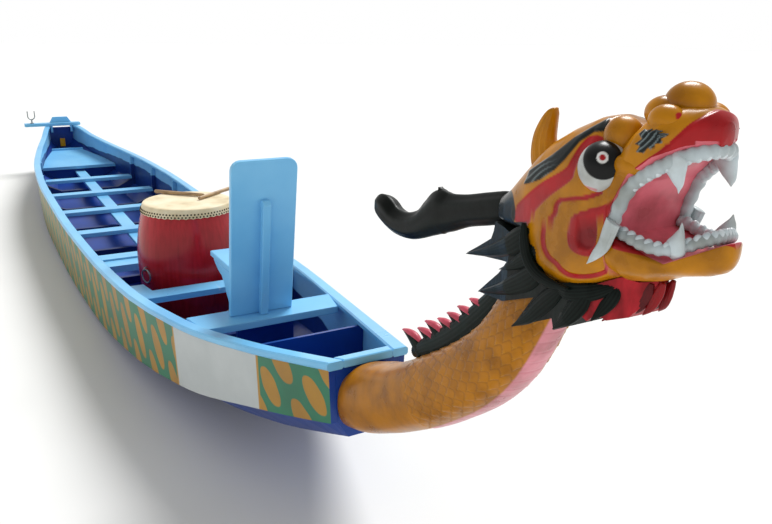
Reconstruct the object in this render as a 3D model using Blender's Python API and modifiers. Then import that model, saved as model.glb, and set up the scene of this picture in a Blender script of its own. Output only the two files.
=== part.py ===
# A wooden dragon boat for ten paddlers, with its drum, drummer's seat and carved dragon head
# In metres, +Z up and +X towards the bow. The boat stands on the flat middle of its bottom at Z = 0,
# and the origin is at the middle of its length and width there. Places along the boat are given as
# a distance aft of the bow transom or, for the dragon, forward of it.

import math

import bmesh
import bpy
import numpy as np
from mathutils import Matrix, Vector

# The gap between two pieces that touch, and the larger one against twisted planking
SEAT = 0.0003
PLANK_SEAT = 0.0006
SAME_LENGTH = 0.00001

# Where the bow transom stands, so that the origin is at the middle of the overall length
BOW_X = 3.4155
HULL_LENGTH = 8.02

# Hull stations: distance aft, half width and height of the rail, of the chine and of the flat bottom
HULL_STATIONS = (
    (0.00, 0.143, 0.697, 0.128, 0.484, 0.066, 0.422),
    (0.20, 0.199, 0.655, 0.185, 0.428, 0.094, 0.347),
    (0.40, 0.252, 0.615, 0.238, 0.375, 0.125, 0.278),
    (0.90, 0.365, 0.535, 0.348, 0.246, 0.205, 0.155),
    (1.60, 0.462, 0.475, 0.442, 0.136, 0.285, 0.055),
    (2.50, 0.512, 0.437, 0.492, 0.048, 0.345, 0.000),
    (3.50, 0.544, 0.430, 0.523, 0.036, 0.372, 0.000),
    (4.50, 0.550, 0.430, 0.529, 0.042, 0.374, 0.000),
    (5.50, 0.515, 0.430, 0.494, 0.074, 0.342, 0.018),
    (6.50, 0.412, 0.437, 0.392, 0.150, 0.255, 0.075),
    (7.30, 0.285, 0.470, 0.268, 0.235, 0.165, 0.150),
    (7.84, 0.192, 0.522, 0.177, 0.306, 0.102, 0.215),
    (8.02, 0.160, 0.522, 0.146, 0.330, 0.085, 0.245),
)
SECTION_SPACING = 0.25
END_SECTION_SPACING = 0.10
BOW_SECTIONS_TO = 1.0
STERN_SECTIONS_FROM = 6.7

# Planking
SIDE_THICKNESS = 0.022
BOTTOM_THICKNESS = 0.026
BOTTOM_INSET = 0.012
TRANSOM_THICKNESS = 0.030

# Cap rails
RAIL_WIDTH = 0.056
RAIL_THICKNESS = 0.028
RAIL_OVERHANG = 0.008
RAIL_ROUND = 0.006
BOW_RAIL_DEPTH = 0.045

# Frames: a floor timber with a rib up each side
FRAME_DEPTH = 0.040
RIB_THICKNESS = 0.035
RIB_FOOT = 0.075
FLOOR_HEIGHT = 0.045
FLOOR_INSET = 0.045
FOOTREST_FRAME_AT = 1.69

# Thwarts for the paddlers
THWART_COUNT = 5
LAST_THWART_AT = 5.96
THWART_PITCH = 0.725
THWART_WIDTH = 0.115
THWART_TOP = 0.220
THWART_THICKNESS = 0.030
THWART_END_GAP = 0.0012
STEP_WIDTH = 0.130
STEP_DROP = 0.012
STEP_THICKNESS = 0.045
BOARD_ROUND = 0.003

# The plank along the middle, under the thwarts
CENTRE_PLANK_HALF = 0.050
CENTRE_PLANK_THICKNESS = 0.025

# The footrest board, cut back in the middle for the drum, and the seat board between the gunwales
FOOTREST_AFT = 1.867
FOOTREST_NOTCH = 1.750
FOOTREST_FORWARD = 1.637
FOOTREST_NOTCH_HALF = 0.315
FOOTREST_NOTCH_SLOPE = 0.020
FOOTREST_TOP = 0.400
SEAT_BOARD_AFT = 0.977
SEAT_BOARD_FORWARD = 0.816
SEAT_BOARD_TOP = 0.530
BOARD_THICKNESS = 0.030

# The drummer's seat on that board
BACKREST_HALF = 0.135
BACKREST_MIDDLE = -0.023
SEAT_STARBOARD = 0.135
SEAT_PORT = 0.112
BACKREST_THICKNESS = 0.025
BACKREST_FOOT_AT = 0.900
BACKREST_LENGTH = 0.665
BACKREST_LEAN = math.radians(9.3)
BACKREST_CORNER = 0.040
BACKREST_RIB_WIDTH = 0.032
BACKREST_RIB_DEPTH = 0.034
BACKREST_RIB_LENGTH = 0.505
BACKREST_RIB_SLOPE = 0.020
SEAT_TOP = 0.727
SEAT_THICKNESS = 0.024
SEAT_AFT = 1.229
CHEEK_THICKNESS = 0.022
CHEEK_INSET = 0.002
CHEEK_CURVE = (
    (1.170, 0.684), (1.130, 0.664), (1.080, 0.652), (1.052, 0.630), (1.034, 0.600), (1.005, 0.570),
)
CHEEK_TOP_AFT = 1.195
SEAT_POST_THICKNESS = 0.024

# The steersman's deck and the bulkhead under its forward edge
DECK_FORWARD = 6.56
DECK_AFT = 7.55
DECK_FORWARD_TOP = 0.245
DECK_AFT_TOP = 0.280
DECK_THICKNESS = 0.030
DECK_GAP = 0.002
DECK_RIM_WIDTH = 0.030
DECK_RIM_HEIGHT = 0.020
DECK_BULKHEAD_AT = 6.60

# The beam across the stern, its two knees, the board on it, and the block inside the stern transom
BEAM_FORWARD = 7.88
BEAM_AFT = 7.99
BEAM_THICKNESS = 0.035
BEAM_STARBOARD = 0.400
BEAM_PORT = 0.215
KNEE_FORWARD = 7.885
KNEE_AFT = 7.925
KNEE_THICKNESS = 0.022
KNEE_HEIGHT = 0.075
STERN_BOARD_HEIGHT = 0.064
STERN_BOARD_FOOT_HALF = 0.120
STERN_BOARD_TOP_HALF = 0.082
STERN_BOARD_THICKNESS = 0.025
STERN_BOARD_AFT = 7.984
TAIL_BLOCK_HALF = 0.028
TAIL_BLOCK_DEPTH = 0.050
TAIL_BLOCK_TOP = 0.360

# The steering oar's crutch
CRUTCH_AT = 7.935
CRUTCH_OFFSET = 0.316
CRUTCH_HALF_GAP = 0.0375
CRUTCH_ROD = 0.006
CRUTCH_PRONG = 0.060
CRUTCH_STEM = 0.046
CRUTCH_STEM_RADIUS = 0.0085
CRUTCH_FLANGE = 0.024
CRUTCH_FLANGE_HEIGHT = 0.006
CRUTCH_STEPS = 12
CRUTCH_STEM_SIDES = 20

# The bulkhead ahead of the seat
BULKHEAD_AT = 0.500
BULKHEAD_THICKNESS = 0.020
BULKHEAD_TOP = 0.575

# The drum, standing on two level floor timbers
DRUM_AT = 2.105
DRUM_BOTTOM = 0.120
DRUM_TOP = 0.765
DRUM_END_RADIUS = 0.231
DRUM_MIDDLE_RADIUS = 0.284
DRUM_RINGS = 10
DRUM_SIDES = 40
DRUM_WALL = 0.022
HIDE_THICKNESS = 0.005
HIDE_COLLAR = 0.047
DRUM_TIMBERS_AT = (1.975, 2.235)
DRUM_TIMBER_DEPTH = 0.060

# The drum's ring handles, each hanging on the lower leg of its staple
RING_RADIUS = 0.036
RING_ROD = 0.004
RING_TURN = math.radians(67.5)
STAPLE_ROD = 0.003
STAPLE_HALF_HEIGHT = 0.010
STAPLE_REACH = 0.022
STAPLE_HEIGHT = 0.440
STAPLE_STEPS = 8
RING_STEPS = 28
RING_SIDES = 8

# The drumsticks lying on the upper hide: butt and tip, as distance aft and offset to port
STICK_RADIUS = 0.011
STICKS = (
    ("drumstick_starboard", (2.362, -0.118), (2.140, 0.108)),
    ("drumstick_port", (2.070, 0.052), (2.262, 0.292)),
)

# The dragon's neck: distance forward, height, half width and half height across the neck
NECK_STATIONS = (
    (0.000, 0.551, 0.108, 0.111),
    (0.075, 0.582, 0.107, 0.110),
    (0.148, 0.616, 0.104, 0.107),
    (0.240, 0.660, 0.098, 0.101),
    (0.387, 0.748, 0.095, 0.098),
    (0.476, 0.808, 0.092, 0.095),
    (0.576, 0.883, 0.089, 0.091),
    (0.653, 0.957, 0.083, 0.085),
    (0.706, 1.028, 0.078, 0.079),
    (0.757, 1.117, 0.073, 0.073),
    (0.794, 1.190, 0.068, 0.068),
    (0.824, 1.264, 0.062, 0.062),
)
NECK_SIDES = 20
NECK_SQUARENESS = 0.06

# The horn, from its root on the back of the head to its tip, in the same columns
HORN_STATIONS = (
    (0.6651, 1.313, 0.026, 0.028),
    (0.640, 1.302, 0.030, 0.036),
    (0.575, 1.284, 0.030, 0.038),
    (0.500, 1.264, 0.030, 0.039),
    (0.435, 1.246, 0.031, 0.047),
    (0.388, 1.237, 0.033, 0.056),
    (0.350, 1.216, 0.033, 0.049),
    (0.305, 1.189, 0.032, 0.039),
    (0.255, 1.171, 0.031, 0.037),
    (0.205, 1.164, 0.031, 0.036),
    (0.160, 1.168, 0.031, 0.038),
    (0.118, 1.183, 0.031, 0.042),
    (0.082, 1.192, 0.026, 0.034),
    (0.058, 1.194, 0.013, 0.018),
    (0.050, 1.194, 0.004, 0.005),
)
HORN_SIDES = 14

# Cross sections of the carved pieces: distance forward, underside, widest height, top and half width
HEAD_SECTIONS = (
    (0.6655, 1.284, 1.312, 1.343, 0.046),
    (0.7000, 1.284, 1.318, 1.366, 0.062),
    (0.7450, 1.284, 1.332, 1.412, 0.076),
    (0.7900, 1.284, 1.350, 1.456, 0.087),
    (0.8100, 1.246, 1.345, 1.474, 0.091),
    (0.8550, 1.211, 1.340, 1.503, 0.097),
    (0.9100, 1.212, 1.345, 1.530, 0.101),
    (0.9400, 1.221, 1.355, 1.540, 0.102),
    (0.9740, 1.238, 1.365, 1.532, 0.102),
    (1.0000, 1.254, 1.375, 1.522, 0.101),
    (1.0150, 1.262, 1.385, 1.548, 0.100),
    (1.0155, 1.345, 1.400, 1.549, 0.100),
    (1.0210, 1.381, 1.425, 1.558, 0.099),
    (1.0430, 1.433, 1.465, 1.577, 0.096),
    (1.0690, 1.4576, 1.484, 1.593, 0.091),
    (1.0810, 1.469, 1.498, 1.592, 0.088),
    (1.0980, 1.4819, 1.506, 1.580, 0.076),
    (1.1140, 1.494, 1.514, 1.562, 0.060),
    (1.1270, 1.4985, 1.519, 1.550, 0.044),
    (1.1370, 1.5020, 1.520, 1.542, 0.026),
    (1.1430, 1.5040, 1.519, 1.534, 0.010),
)
HEAD_CURVE = (2.3, 5.0)
JAW_SECTIONS = (
    (1.0158, 1.262, 1.320, 1.340, 0.086),
    (1.0390, 1.257, 1.314, 1.331, 0.088),
    (1.0600, 1.263, 1.311, 1.326, 0.087),
    (1.0820, 1.270, 1.308, 1.322, 0.084),
    (1.1170, 1.289, 1.308, 1.320, 0.076),
    (1.1450, 1.2965, 1.323, 1.3367, 0.066),
    (1.1600, 1.300, 1.331, 1.346, 0.051),
    (1.1740, 1.307, 1.339, 1.3546, 0.035),
    (1.1840, 1.317, 1.347, 1.360, 0.018),
    (1.1890, 1.332, 1.350, 1.361, 0.007),
)
JAW_CURVE = (7.0, 2.3)
SECTION_SIDES = 28

# Teeth, seen from the side: the roof or the floor of the mouth, and the line of the teeth back along it
MOUTH_ROOF = (
    (1.141, 1.503), (1.127, 1.4985), (1.114, 1.494), (1.081, 1.469), (1.043, 1.433), (1.021, 1.381),
    (1.0165, 1.352),
)
UPPER_BITE = (
    (1.040, 1.350), (1.050, 1.385), (1.070, 1.418), (1.092, 1.448), (1.104, 1.446), (1.117, 1.429),
    (1.122, 1.462), (1.130, 1.474), (1.152, 1.479), (1.150, 1.500),
)
MOUTH_FLOOR = (
    (1.060, 1.326), (1.082, 1.322), (1.117, 1.320), (1.145, 1.3369), (1.160, 1.346),
)
LOWER_BITE = (
    (1.168, 1.362), (1.147, 1.361), (1.140, 1.366), (1.130, 1.387), (1.119, 1.350), (1.090, 1.344),
    (1.064, 1.344),
)

# Each row of teeth, seen from above: distance forward and half width, outside and inside
UPPER_ROW_OUTSIDE = (
    (1.016, 0.088), (1.043, 0.085), (1.081, 0.075), (1.100, 0.065), (1.120, 0.050), (1.140, 0.030),
    (1.158, 0.010),
)
UPPER_ROW_INSIDE = ((1.000, 0.066), (1.081, 0.053), (1.104, 0.040), (1.122, 0.024), (1.130, 0.008))
LOWER_ROW_OUTSIDE = (
    (1.050, 0.079), (1.082, 0.075), (1.117, 0.062), (1.135, 0.049), (1.150, 0.032), (1.170, 0.010),
)
LOWER_ROW_INSIDE = ((1.040, 0.057), (1.110, 0.044), (1.130, 0.030), (1.145, 0.014), (1.149, 0.006))
MOUTH_LOW = 1.250
MOUTH_HIGH = 1.600

# The flaming mane under the head, seen from the side, and its half width where it narrows
MANE_OUTLINE = (
    (0.662, 1.2600), (0.6690, 1.2825), (0.7885, 1.2832), (0.8085, 1.2452), (0.8530, 1.2105),
    (0.9100, 1.2112), (0.9400, 1.2202), (0.9740, 1.2372), (1.0000, 1.2532), (1.0150, 1.2612),
    (1.0390, 1.2562), (1.0600, 1.2620), (1.0660, 1.2640), (1.0540, 1.225), (1.0310, 1.190),
    (1.0000, 1.177), (0.985, 1.186), (0.970, 1.1686), (0.945, 1.184), (0.9137, 1.167),
    (0.900, 1.1275), (0.893, 1.1486), (0.780, 1.090), (0.838, 1.1726), (0.730, 1.128),
    (0.5875, 1.097), (0.700, 1.178), (0.745, 1.218), (0.508, 1.165), (0.650, 1.240),
)
MANE_WIDTH = (
    (0.500, 0.006), (0.5875, 0.030), (0.650, 0.050), (0.716, 0.070), (0.755, 0.086), (0.930, 0.086),
    (0.972, 0.074), (1.000, 0.058), (1.022, 0.044), (1.044, 0.028), (1.068, 0.010),
)
MANE_LOW = 1.000
MANE_HIGH = 1.320

# The crest standing on the middle of the skull, seen from the side and down into it
CREST_OUTLINE = (
    (0.715, 1.395), (0.713, 1.420), (0.714, 1.460), (0.724, 1.490), (0.742, 1.512), (0.753, 1.519),
    (0.758, 1.517), (0.760, 1.490), (0.766, 1.469), (0.782, 1.455), (0.785, 1.420), (0.722, 1.355),
)
CREST_HALF = 0.022
CREST_ROUND = 0.008
EYE_AT = (0.985, 1.450)
EYE_OFFSET = 0.080
EYE_RADIUS = 0.044
EYE_SEGMENTS = 20

# The fin along the neck: the tip of each of its leaves, and how far a leaf reaches ahead of its tip
FIN_TIPS = (
    (0.214, 0.858), (0.285, 0.889), (0.337, 0.922), (0.385, 0.952), (0.431, 0.982), (0.477, 1.014),
    (0.523, 1.049),
)
FIN_HALF = 0.011
FIN_NOTCH = (0.012, 0.042)
FIN_LAST_LEAF = (0.055, 0.036)
FIN_FOOT = (0.045, 0.115)

PALE_BLUE = ("pale blue paint", "8CCDF0", 0.45, 0.0)
NAVY = ("navy paint", "123A86", 0.50, 0.0)
SIDE_GREEN = ("side paint", "2F7A5B", 0.50, 0.0)
MUSTARD = ("mustard paint", "C98A1E", 0.35, 0.0)
BLACK = ("black paint", "15201C", 0.40, 0.0)
WHITE = ("white paint", "D9E2E3", 0.45, 0.0)
DRUM_RED = ("drum lacquer", "7A1B1B", 0.30, 0.0)
HIDE = ("drum hide", "E6D8B8", 0.75, 0.0)
WOOD = ("bare wood", "A98B68", 0.60, 0.0)
STEEL = ("galvanised steel", "9AA0A2", 0.35, 1.0)
YELLOW = ("yellow paint", "E0A010", 0.45, 0.0)

# How an outline's plane lies in the boat: its turn, and whether it starts at the bow transom
PLANES = {
    "side": (Matrix.Rotation(math.pi / 2, 4, "X"), 1),
    "ahead": (Matrix.Rotation(math.pi / 2, 4, "Z") @ Matrix.Rotation(math.pi / 2, 4, "X"), 0),
    "above": (Matrix.Identity(4), 1),
}


def clearScene():
    for item in list(bpy.data.objects):
        bpy.data.objects.remove(item, do_unlink=True)


def newCollection(name, hidden=False):
    collection = bpy.data.collections.new(name)
    collection.hide_render = hidden
    bpy.context.scene.collection.children.link(collection)
    return collection


def linear(value):
    share = value / 255
    return share / 12.92 if share <= 0.04045 else ((share + 0.055) / 1.055) ** 2.4


# The material of this finish, made once
def paint(finish):
    name, colour, roughness, metallic = finish
    found = bpy.data.materials.get(name)
    if found:
        return found
    made = bpy.data.materials.new(name)
    made.use_nodes = True
    shader = made.node_tree.nodes["Principled BSDF"]
    channels = [linear(int(colour[i:i + 2], 16)) for i in (0, 2, 4)]
    shader.inputs["Base Color"].default_value = (*channels, 1)
    shader.inputs["Roughness"].default_value = roughness
    shader.inputs["Metallic"].default_value = metallic
    made.diffuse_color = (*channels, 1)
    return made


def addMesh(name, mesh, finish, collection):
    piece = bpy.data.objects.new(name, mesh)
    mesh.materials.clear()
    mesh.materials.append(paint(finish))
    collection.objects.link(piece)
    return piece


def fromBmesh(name, shape, finish, collection):
    bmesh.ops.recalc_face_normals(shape, faces=shape.faces)
    mesh = bpy.data.meshes.new(name)
    shape.to_mesh(mesh)
    shape.free()
    return addMesh(name, mesh, finish, collection)


# Rounds the edges that are sharper than this angle
def rounded(piece, width, segments=2, angle=30):
    bevel = piece.modifiers.new("rounded edges", "BEVEL")
    bevel.width = width
    bevel.segments = segments
    bevel.limit_method = "ANGLE"
    bevel.angle_limit = math.radians(angle)
    return piece


def boolean(piece, operation, other):
    change = piece.modifiers.new(f"{operation.lower()} {other.name}", "BOOLEAN")
    change.operation = operation
    change.object = other
    change.solver = "EXACT"
    return piece


def asCutter(piece):
    piece.hide_render = True
    piece.display_type = "WIRE"
    return piece


def block(name, low, high, finish, collection):
    shape = bmesh.new()
    bmesh.ops.create_cube(shape, size=1)
    bmesh.ops.scale(shape, verts=shape.verts, vec=[b - a for a, b in zip(low, high)])
    piece = fromBmesh(name, shape, finish, collection)
    piece.location = [(a + b) / 2 for a, b in zip(low, high)]
    return piece


# A closed solid through rings of points, each ring in the same order, with a flat cap at each end. The
# walls are split along their shorter diagonals, so that two pieces that lie together have the same facets.
def loft(name, rings, finish, collection):
    shape = bmesh.new()
    rows = [[shape.verts.new(point) for point in ring] for ring in rings]
    for first, second in zip(rows, rows[1:]):
        for i in range(len(first)):
            a, b = first[i], first[(i + 1) % len(first)]
            c, d = second[(i + 1) % len(first)], second[i]
            if (a.co - c.co).length < (b.co - d.co).length - SAME_LENGTH:
                shape.faces.new((a, b, c))
                shape.faces.new((a, c, d))
            else:
                shape.faces.new((a, b, d))
                shape.faces.new((b, c, d))
    shape.faces.new(rows[0])
    shape.faces.new(rows[-1])
    return fromBmesh(name, shape, finish, collection)


# A curve made a mesh with its caps welded, in the curve's place
def meshOf(name, data, placing, finish, collection):
    guide = bpy.data.objects.new(f"{name} guide", data)
    collection.objects.link(guide)
    bpy.context.view_layer.update()
    evaluated = guide.evaluated_get(bpy.context.evaluated_depsgraph_get())
    mesh = bpy.data.meshes.new_from_object(evaluated)
    bpy.data.objects.remove(guide)
    shape = bmesh.new()
    shape.from_mesh(mesh)
    bpy.data.meshes.remove(mesh)
    bmesh.ops.remove_doubles(shape, verts=shape.verts, dist=1e-5)
    piece = fromBmesh(name, shape, finish, collection)
    piece.matrix_world = placing
    return piece


def newCurve(name, points, dimensions):
    data = bpy.data.curves.new(name, "CURVE")
    data.dimensions = dimensions
    line = data.splines.new("POLY")
    line.points.add(len(points) - 1)
    for spot, point in zip(line.points, points):
        spot.co = (*point, 1)
    return data


# An outline seen from the side, ahead or above, pulled out between two places across that view
def flatPiece(name, outline, low, high, finish, collection, seen="side"):
    data = newCurve(name, [(across, up, 0) for across, up in outline], "2D")
    data.splines[0].use_cyclic_u = True
    data.fill_mode = "BOTH"
    data.extrude = (high - low) / 2
    turn, fromBow = PLANES[seen]
    normal = Vector((turn @ Vector((0, 0, 1, 0))).xyz)
    middle = Vector([abs(part) for part in normal]) * (low + high) / 2
    placing = Matrix.Translation(Vector((BOW_X * fromBow, 0, 0)) + middle) @ turn
    return meshOf(name, data, placing, finish, collection)


# A round rod along a line of points that are measured from its own place
def rodAlong(name, points, radius, place, finish, collection, resolution=2):
    data = newCurve(name, points, "3D")
    data.bevel_depth = radius
    data.bevel_resolution = resolution
    data.use_fill_caps = True
    return meshOf(name, data, Matrix.Translation(place), finish, collection)


# A profile of radius and height, run down its outer side, turned about the vertical through a place.
# A profile that doesn't start on the axis is closed, and gives a tube.
def turned(name, profile, place, finish, collection, sides=DRUM_SIDES):
    shape = bmesh.new()
    spots = [shape.verts.new((radius, 0, up)) for radius, up in profile]
    following = spots[1:] if profile[0][0] == 0 else [*spots[1:], spots[0]]
    for first, second in zip(spots, following):
        shape.edges.new((first, second))
    mesh = bpy.data.meshes.new(name)
    shape.to_mesh(mesh)
    shape.free()
    piece = addMesh(name, mesh, finish, collection)
    piece.location = place
    turn = piece.modifiers.new("turned", "SCREW")
    turn.steps = sides
    turn.render_steps = sides
    turn.use_merge_vertices = True
    turn.merge_threshold = 0.00005
    return piece


# A smooth curve through the values that never swings past them: cubic, with harmonic mean slopes
def monotone(at, places, values):
    steps = np.diff(places)
    slopes = np.diff(values) / steps
    product = slopes[:-1] * slopes[1:]
    total = slopes[:-1] + slopes[1:]
    inner = np.where(product > 0, 2 * product / np.where(total == 0, 1, total), 0)
    tangents = np.concatenate(([slopes[0]], inner, [slopes[-1]]))
    i = np.clip(np.searchsorted(places, at) - 1, 0, len(steps) - 1)
    share = (at - np.asarray(places)[i]) / steps[i]
    start = (1 + 2 * share) * (1 - share) ** 2 * np.asarray(values)[i]
    leaving = share * (1 - share) ** 2 * steps[i] * tangents[i]
    end = share ** 2 * (3 - 2 * share) * np.asarray(values)[i + 1]
    arriving = share ** 2 * (share - 1) * steps[i] * tangents[i + 1]
    return start + leaving + end + arriving


def thwartPlaces():
    return [LAST_THWART_AT - i * THWART_PITCH for i in range(THWART_COUNT)]


# The planking's sections: at every face of a frame, bulkhead or transom, and evenly between them
def sectionPlaces():
    upright = [(place, FRAME_DEPTH) for place in (*thwartPlaces(), FOOTREST_FRAME_AT)]
    upright += [(BULKHEAD_AT, BULKHEAD_THICKNESS), (DECK_BULKHEAD_AT, BULKHEAD_THICKNESS)]
    upright += [(place, DRUM_TIMBER_DEPTH) for place in DRUM_TIMBERS_AT]
    upright += [(0, 2 * TRANSOM_THICKNESS), (HULL_LENGTH, 2 * TRANSOM_THICKNESS)]
    faces = [centre + side * depth / 2 for centre, depth in upright for side in (-1, 1)]
    kept = [0.0, HULL_LENGTH, *(face for face in faces if 0 < face < HULL_LENGTH)]
    even = [*np.arange(0, BOW_SECTIONS_TO, END_SECTION_SPACING)]
    even += [*np.arange(BOW_SECTIONS_TO, STERN_SECTIONS_FROM, SECTION_SPACING)]
    even += [*np.arange(STERN_SECTIONS_FROM, HULL_LENGTH, END_SECTION_SPACING)]
    for place in even:
        if min(abs(place - other) for other in kept) > FRAME_DEPTH:
            kept.append(float(place))
    return sorted(kept)


SECTIONS = np.array(sectionPlaces())
HULL_CURVES = [monotone(SECTIONS, *zip(*((row[0], row[i]) for row in HULL_STATIONS))) for i in range(1, 7)]


# Half width and height of the rail, of the chine and of the bottom here, straight between sections
def hullAt(aft):
    return [float(np.interp(aft, SECTIONS, values)) for values in HULL_CURVES]


# Half the clear width inside the planking at this height
def insideHalf(aft, height):
    rail, railHeight, chine, chineHeight, bottom, bottomHeight = hullAt(aft)
    bilge = chineHeight + BOTTOM_THICKNESS
    if height >= bilge:
        share = (height - chineHeight) / (railHeight - RAIL_THICKNESS - chineHeight)
        return chine - SIDE_THICKNESS + (rail - RAIL_OVERHANG - chine) * min(1, share)
    floor = bottomHeight + BOTTOM_THICKNESS
    low = bottom - BOTTOM_INSET
    return low + (chine - SIDE_THICKNESS - SEAT - low) * max(0, (height - floor) / (bilge - floor))


# Half of the hull's inside here, from a height or the rails down to the floor
def insideOutline(aft, top, gap):
    _, railHeight, chine, chineHeight, bottom, bottomHeight = hullAt(aft)
    top = min(top, railHeight - RAIL_THICKNESS - SEAT)
    outline = [(insideHalf(aft, top) - gap, top)]
    bilge = chineHeight + BOTTOM_THICKNESS
    if top > bilge + gap:
        outline.append((chine - SIDE_THICKNESS - SEAT - gap, bilge + gap))
    outline.append((bottom - BOTTOM_INSET - gap, bottomHeight + BOTTOM_THICKNESS + gap))
    return outline


def onBoat(aft, aside, up):
    return (BOW_X - aft, aside, up)


# A solid plate across the inside of the hull, from the floor up to this height or to the rails
def crossPlate(name, forward, aft, top, collection):
    rings = []
    for place in (forward, aft):
        half = insideOutline(place, top, PLANK_SEAT)
        outline = half + [(-aside, up) for aside, up in reversed(half)]
        rings.append([onBoat(place, aside, up) for aside, up in outline])
    return loft(name, rings, NAVY, collection)


# The flat bottom and both bilge planks, as one trough between the side planks
def addBottom(collection):
    rings = []
    for aft in SECTIONS:
        _, _, chine, chineHeight, bottom, bottomHeight = hullAt(aft)
        inner = bottomHeight + BOTTOM_THICKNESS
        edge = chine - SIDE_THICKNESS - SEAT
        half = [
            (edge, chineHeight + BOTTOM_THICKNESS), (edge, chineHeight), (bottom, bottomHeight),
        ]
        floor = [(bottom - BOTTOM_INSET, inner)]
        outline = half + [(-aside, up) for aside, up in [*reversed(half), *floor]] + floor
        rings.append([onBoat(aft, aside, up) for aside, up in outline])
    return loft("hull_bottom", rings, NAVY, collection)


def addSidePlank(name, side, collection):
    rings = []
    for aft in SECTIONS:
        rail, railHeight, chine, chineHeight, _, _ = hullAt(aft)
        high = railHeight - RAIL_THICKNESS - SEAT
        low = chineHeight
        outline = [
            (rail - RAIL_OVERHANG, high), (chine, low),
            (chine - SIDE_THICKNESS, low), (rail - RAIL_OVERHANG - SIDE_THICKNESS, high),
        ]
        rings.append([onBoat(aft, side * aside, up) for aside, up in outline])
    return loft(name, rings, SIDE_GREEN, collection)


# One cap rail, with its long edges taken off
def addGunwale(name, side, collection):
    rings = []
    for aft, start in ((0, RAIL_OVERHANG), *((place, 0) for place in SECTIONS)):
        rail, height = hullAt(aft)[:2]
        inner = rail - RAIL_WIDTH
        low = height - RAIL_THICKNESS
        cut = RAIL_ROUND
        outline = [
            (rail, low + cut), (rail, height - cut), (rail - cut, height), (inner + cut, height),
            (inner, height - cut), (inner, low + cut), (inner + cut, low), (rail - cut, low),
        ]
        rings.append([onBoat(aft - start, side * aside, up) for aside, up in outline])
    return loft(name, rings, PALE_BLUE, collection)


# The cap of the bow transom, between the two gunwales
def addBowRail(collection):
    rings = []
    for aft, start in ((0, RAIL_OVERHANG), (0, 0), (TRANSOM_THICKNESS, 0), (BOW_RAIL_DEPTH, 0)):
        rail, height = hullAt(aft)[:2]
        half = rail - RAIL_WIDTH - PLANK_SEAT
        low = height - RAIL_THICKNESS
        outline = [(half, low), (half, height), (-half, height), (-half, low)]
        rings.append([onBoat(aft - start, aside, up) for aside, up in outline])
    return rounded(loft("bow_rail", rings, PALE_BLUE, collection), RAIL_ROUND / 2, 1)


# A floor timber and its two ribs, up to the rails
def addFrame(name, centre, collection):
    rings = []
    for aft in (centre - FRAME_DEPTH / 2, centre + FRAME_DEPTH / 2):
        _, railHeight, _, chineHeight, bottom, bottomHeight = hullAt(aft)
        outer = insideOutline(aft, railHeight, PLANK_SEAT)
        foot = chineHeight + RIB_FOOT
        inner = [
            (insideHalf(aft, outer[0][1]) - RIB_THICKNESS, outer[0][1]),
            (insideHalf(aft, foot) - RIB_THICKNESS, foot),
            (bottom - FLOOR_INSET, bottomHeight + BOTTOM_THICKNESS + FLOOR_HEIGHT),
        ]
        outline = outer + [(-aside, up) for aside, up in reversed(outer)]
        outline += [(-aside, up) for aside, up in inner] + list(reversed(inner))
        rings.append([onBoat(aft, aside, up) for aside, up in outline])
    return loft(name, rings, NAVY, collection)


# Half the length of a board whose ends meet the ribs
def betweenRibs(aft, under, gap=THWART_END_GAP):
    return insideHalf(aft, under) - RIB_THICKNESS - gap


# A level board across the boat, given half its length at each edge
def addBoard(name, forward, aft, top, thickness, halfAt, collection):
    ends = [(-forward, halfAt(forward)), (-aft, halfAt(aft))]
    outline = ends + [(along, -half) for along, half in reversed(ends)]
    board = flatPiece(name, outline, top - thickness, top, PALE_BLUE, collection, "above")
    return rounded(board, BOARD_ROUND, 1)


def addThwarts(collection):
    def halfAt(aft):
        return betweenRibs(aft, THWART_TOP - THWART_THICKNESS)

    *plain, foremost = thwartPlaces()
    half = THWART_WIDTH / 2
    for i, centre in enumerate(plain):
        name = f"thwart_{i + 1}"
        addBoard(name, centre - half, centre + half, THWART_TOP, THWART_THICKNESS, halfAt, collection)
    return addSteppedThwart(f"thwart_{THWART_COUNT}", foremost - half, foremost + half, collection)


# The foremost thwart, with a lower and thicker step along its forward edge
def addSteppedThwart(name, forward, aft, collection):
    edge = forward - STEP_WIDTH
    step = THWART_TOP - STEP_DROP
    low = step - STEP_THICKNESS
    under = THWART_TOP - THWART_THICKNESS
    profile = [
        (edge, low), (edge, step), (forward, step), (forward, THWART_TOP),
        (aft, THWART_TOP), (aft, under), (forward, under), (forward, low),
    ]
    rings = []
    for side in (-1, 1):
        rings.append([onBoat(place, side * betweenRibs(place, low), up) for place, up in profile])
    return rounded(loft(name, rings, PALE_BLUE, collection), BOARD_ROUND, 1)


def addCentrePlank(collection):
    forward = thwartPlaces()[-1] - THWART_WIDTH / 2 + SEAT
    top = THWART_TOP - THWART_THICKNESS - SEAT
    aft = DECK_BULKHEAD_AT - BULKHEAD_THICKNESS / 2 - SEAT
    low = (BOW_X - aft, -CENTRE_PLANK_HALF, top - CENTRE_PLANK_THICKNESS)
    plank = block("centre_plank", low, (BOW_X - forward, CENTRE_PLANK_HALF, top), PALE_BLUE, collection)
    return rounded(plank, BOARD_ROUND, 1)


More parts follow.
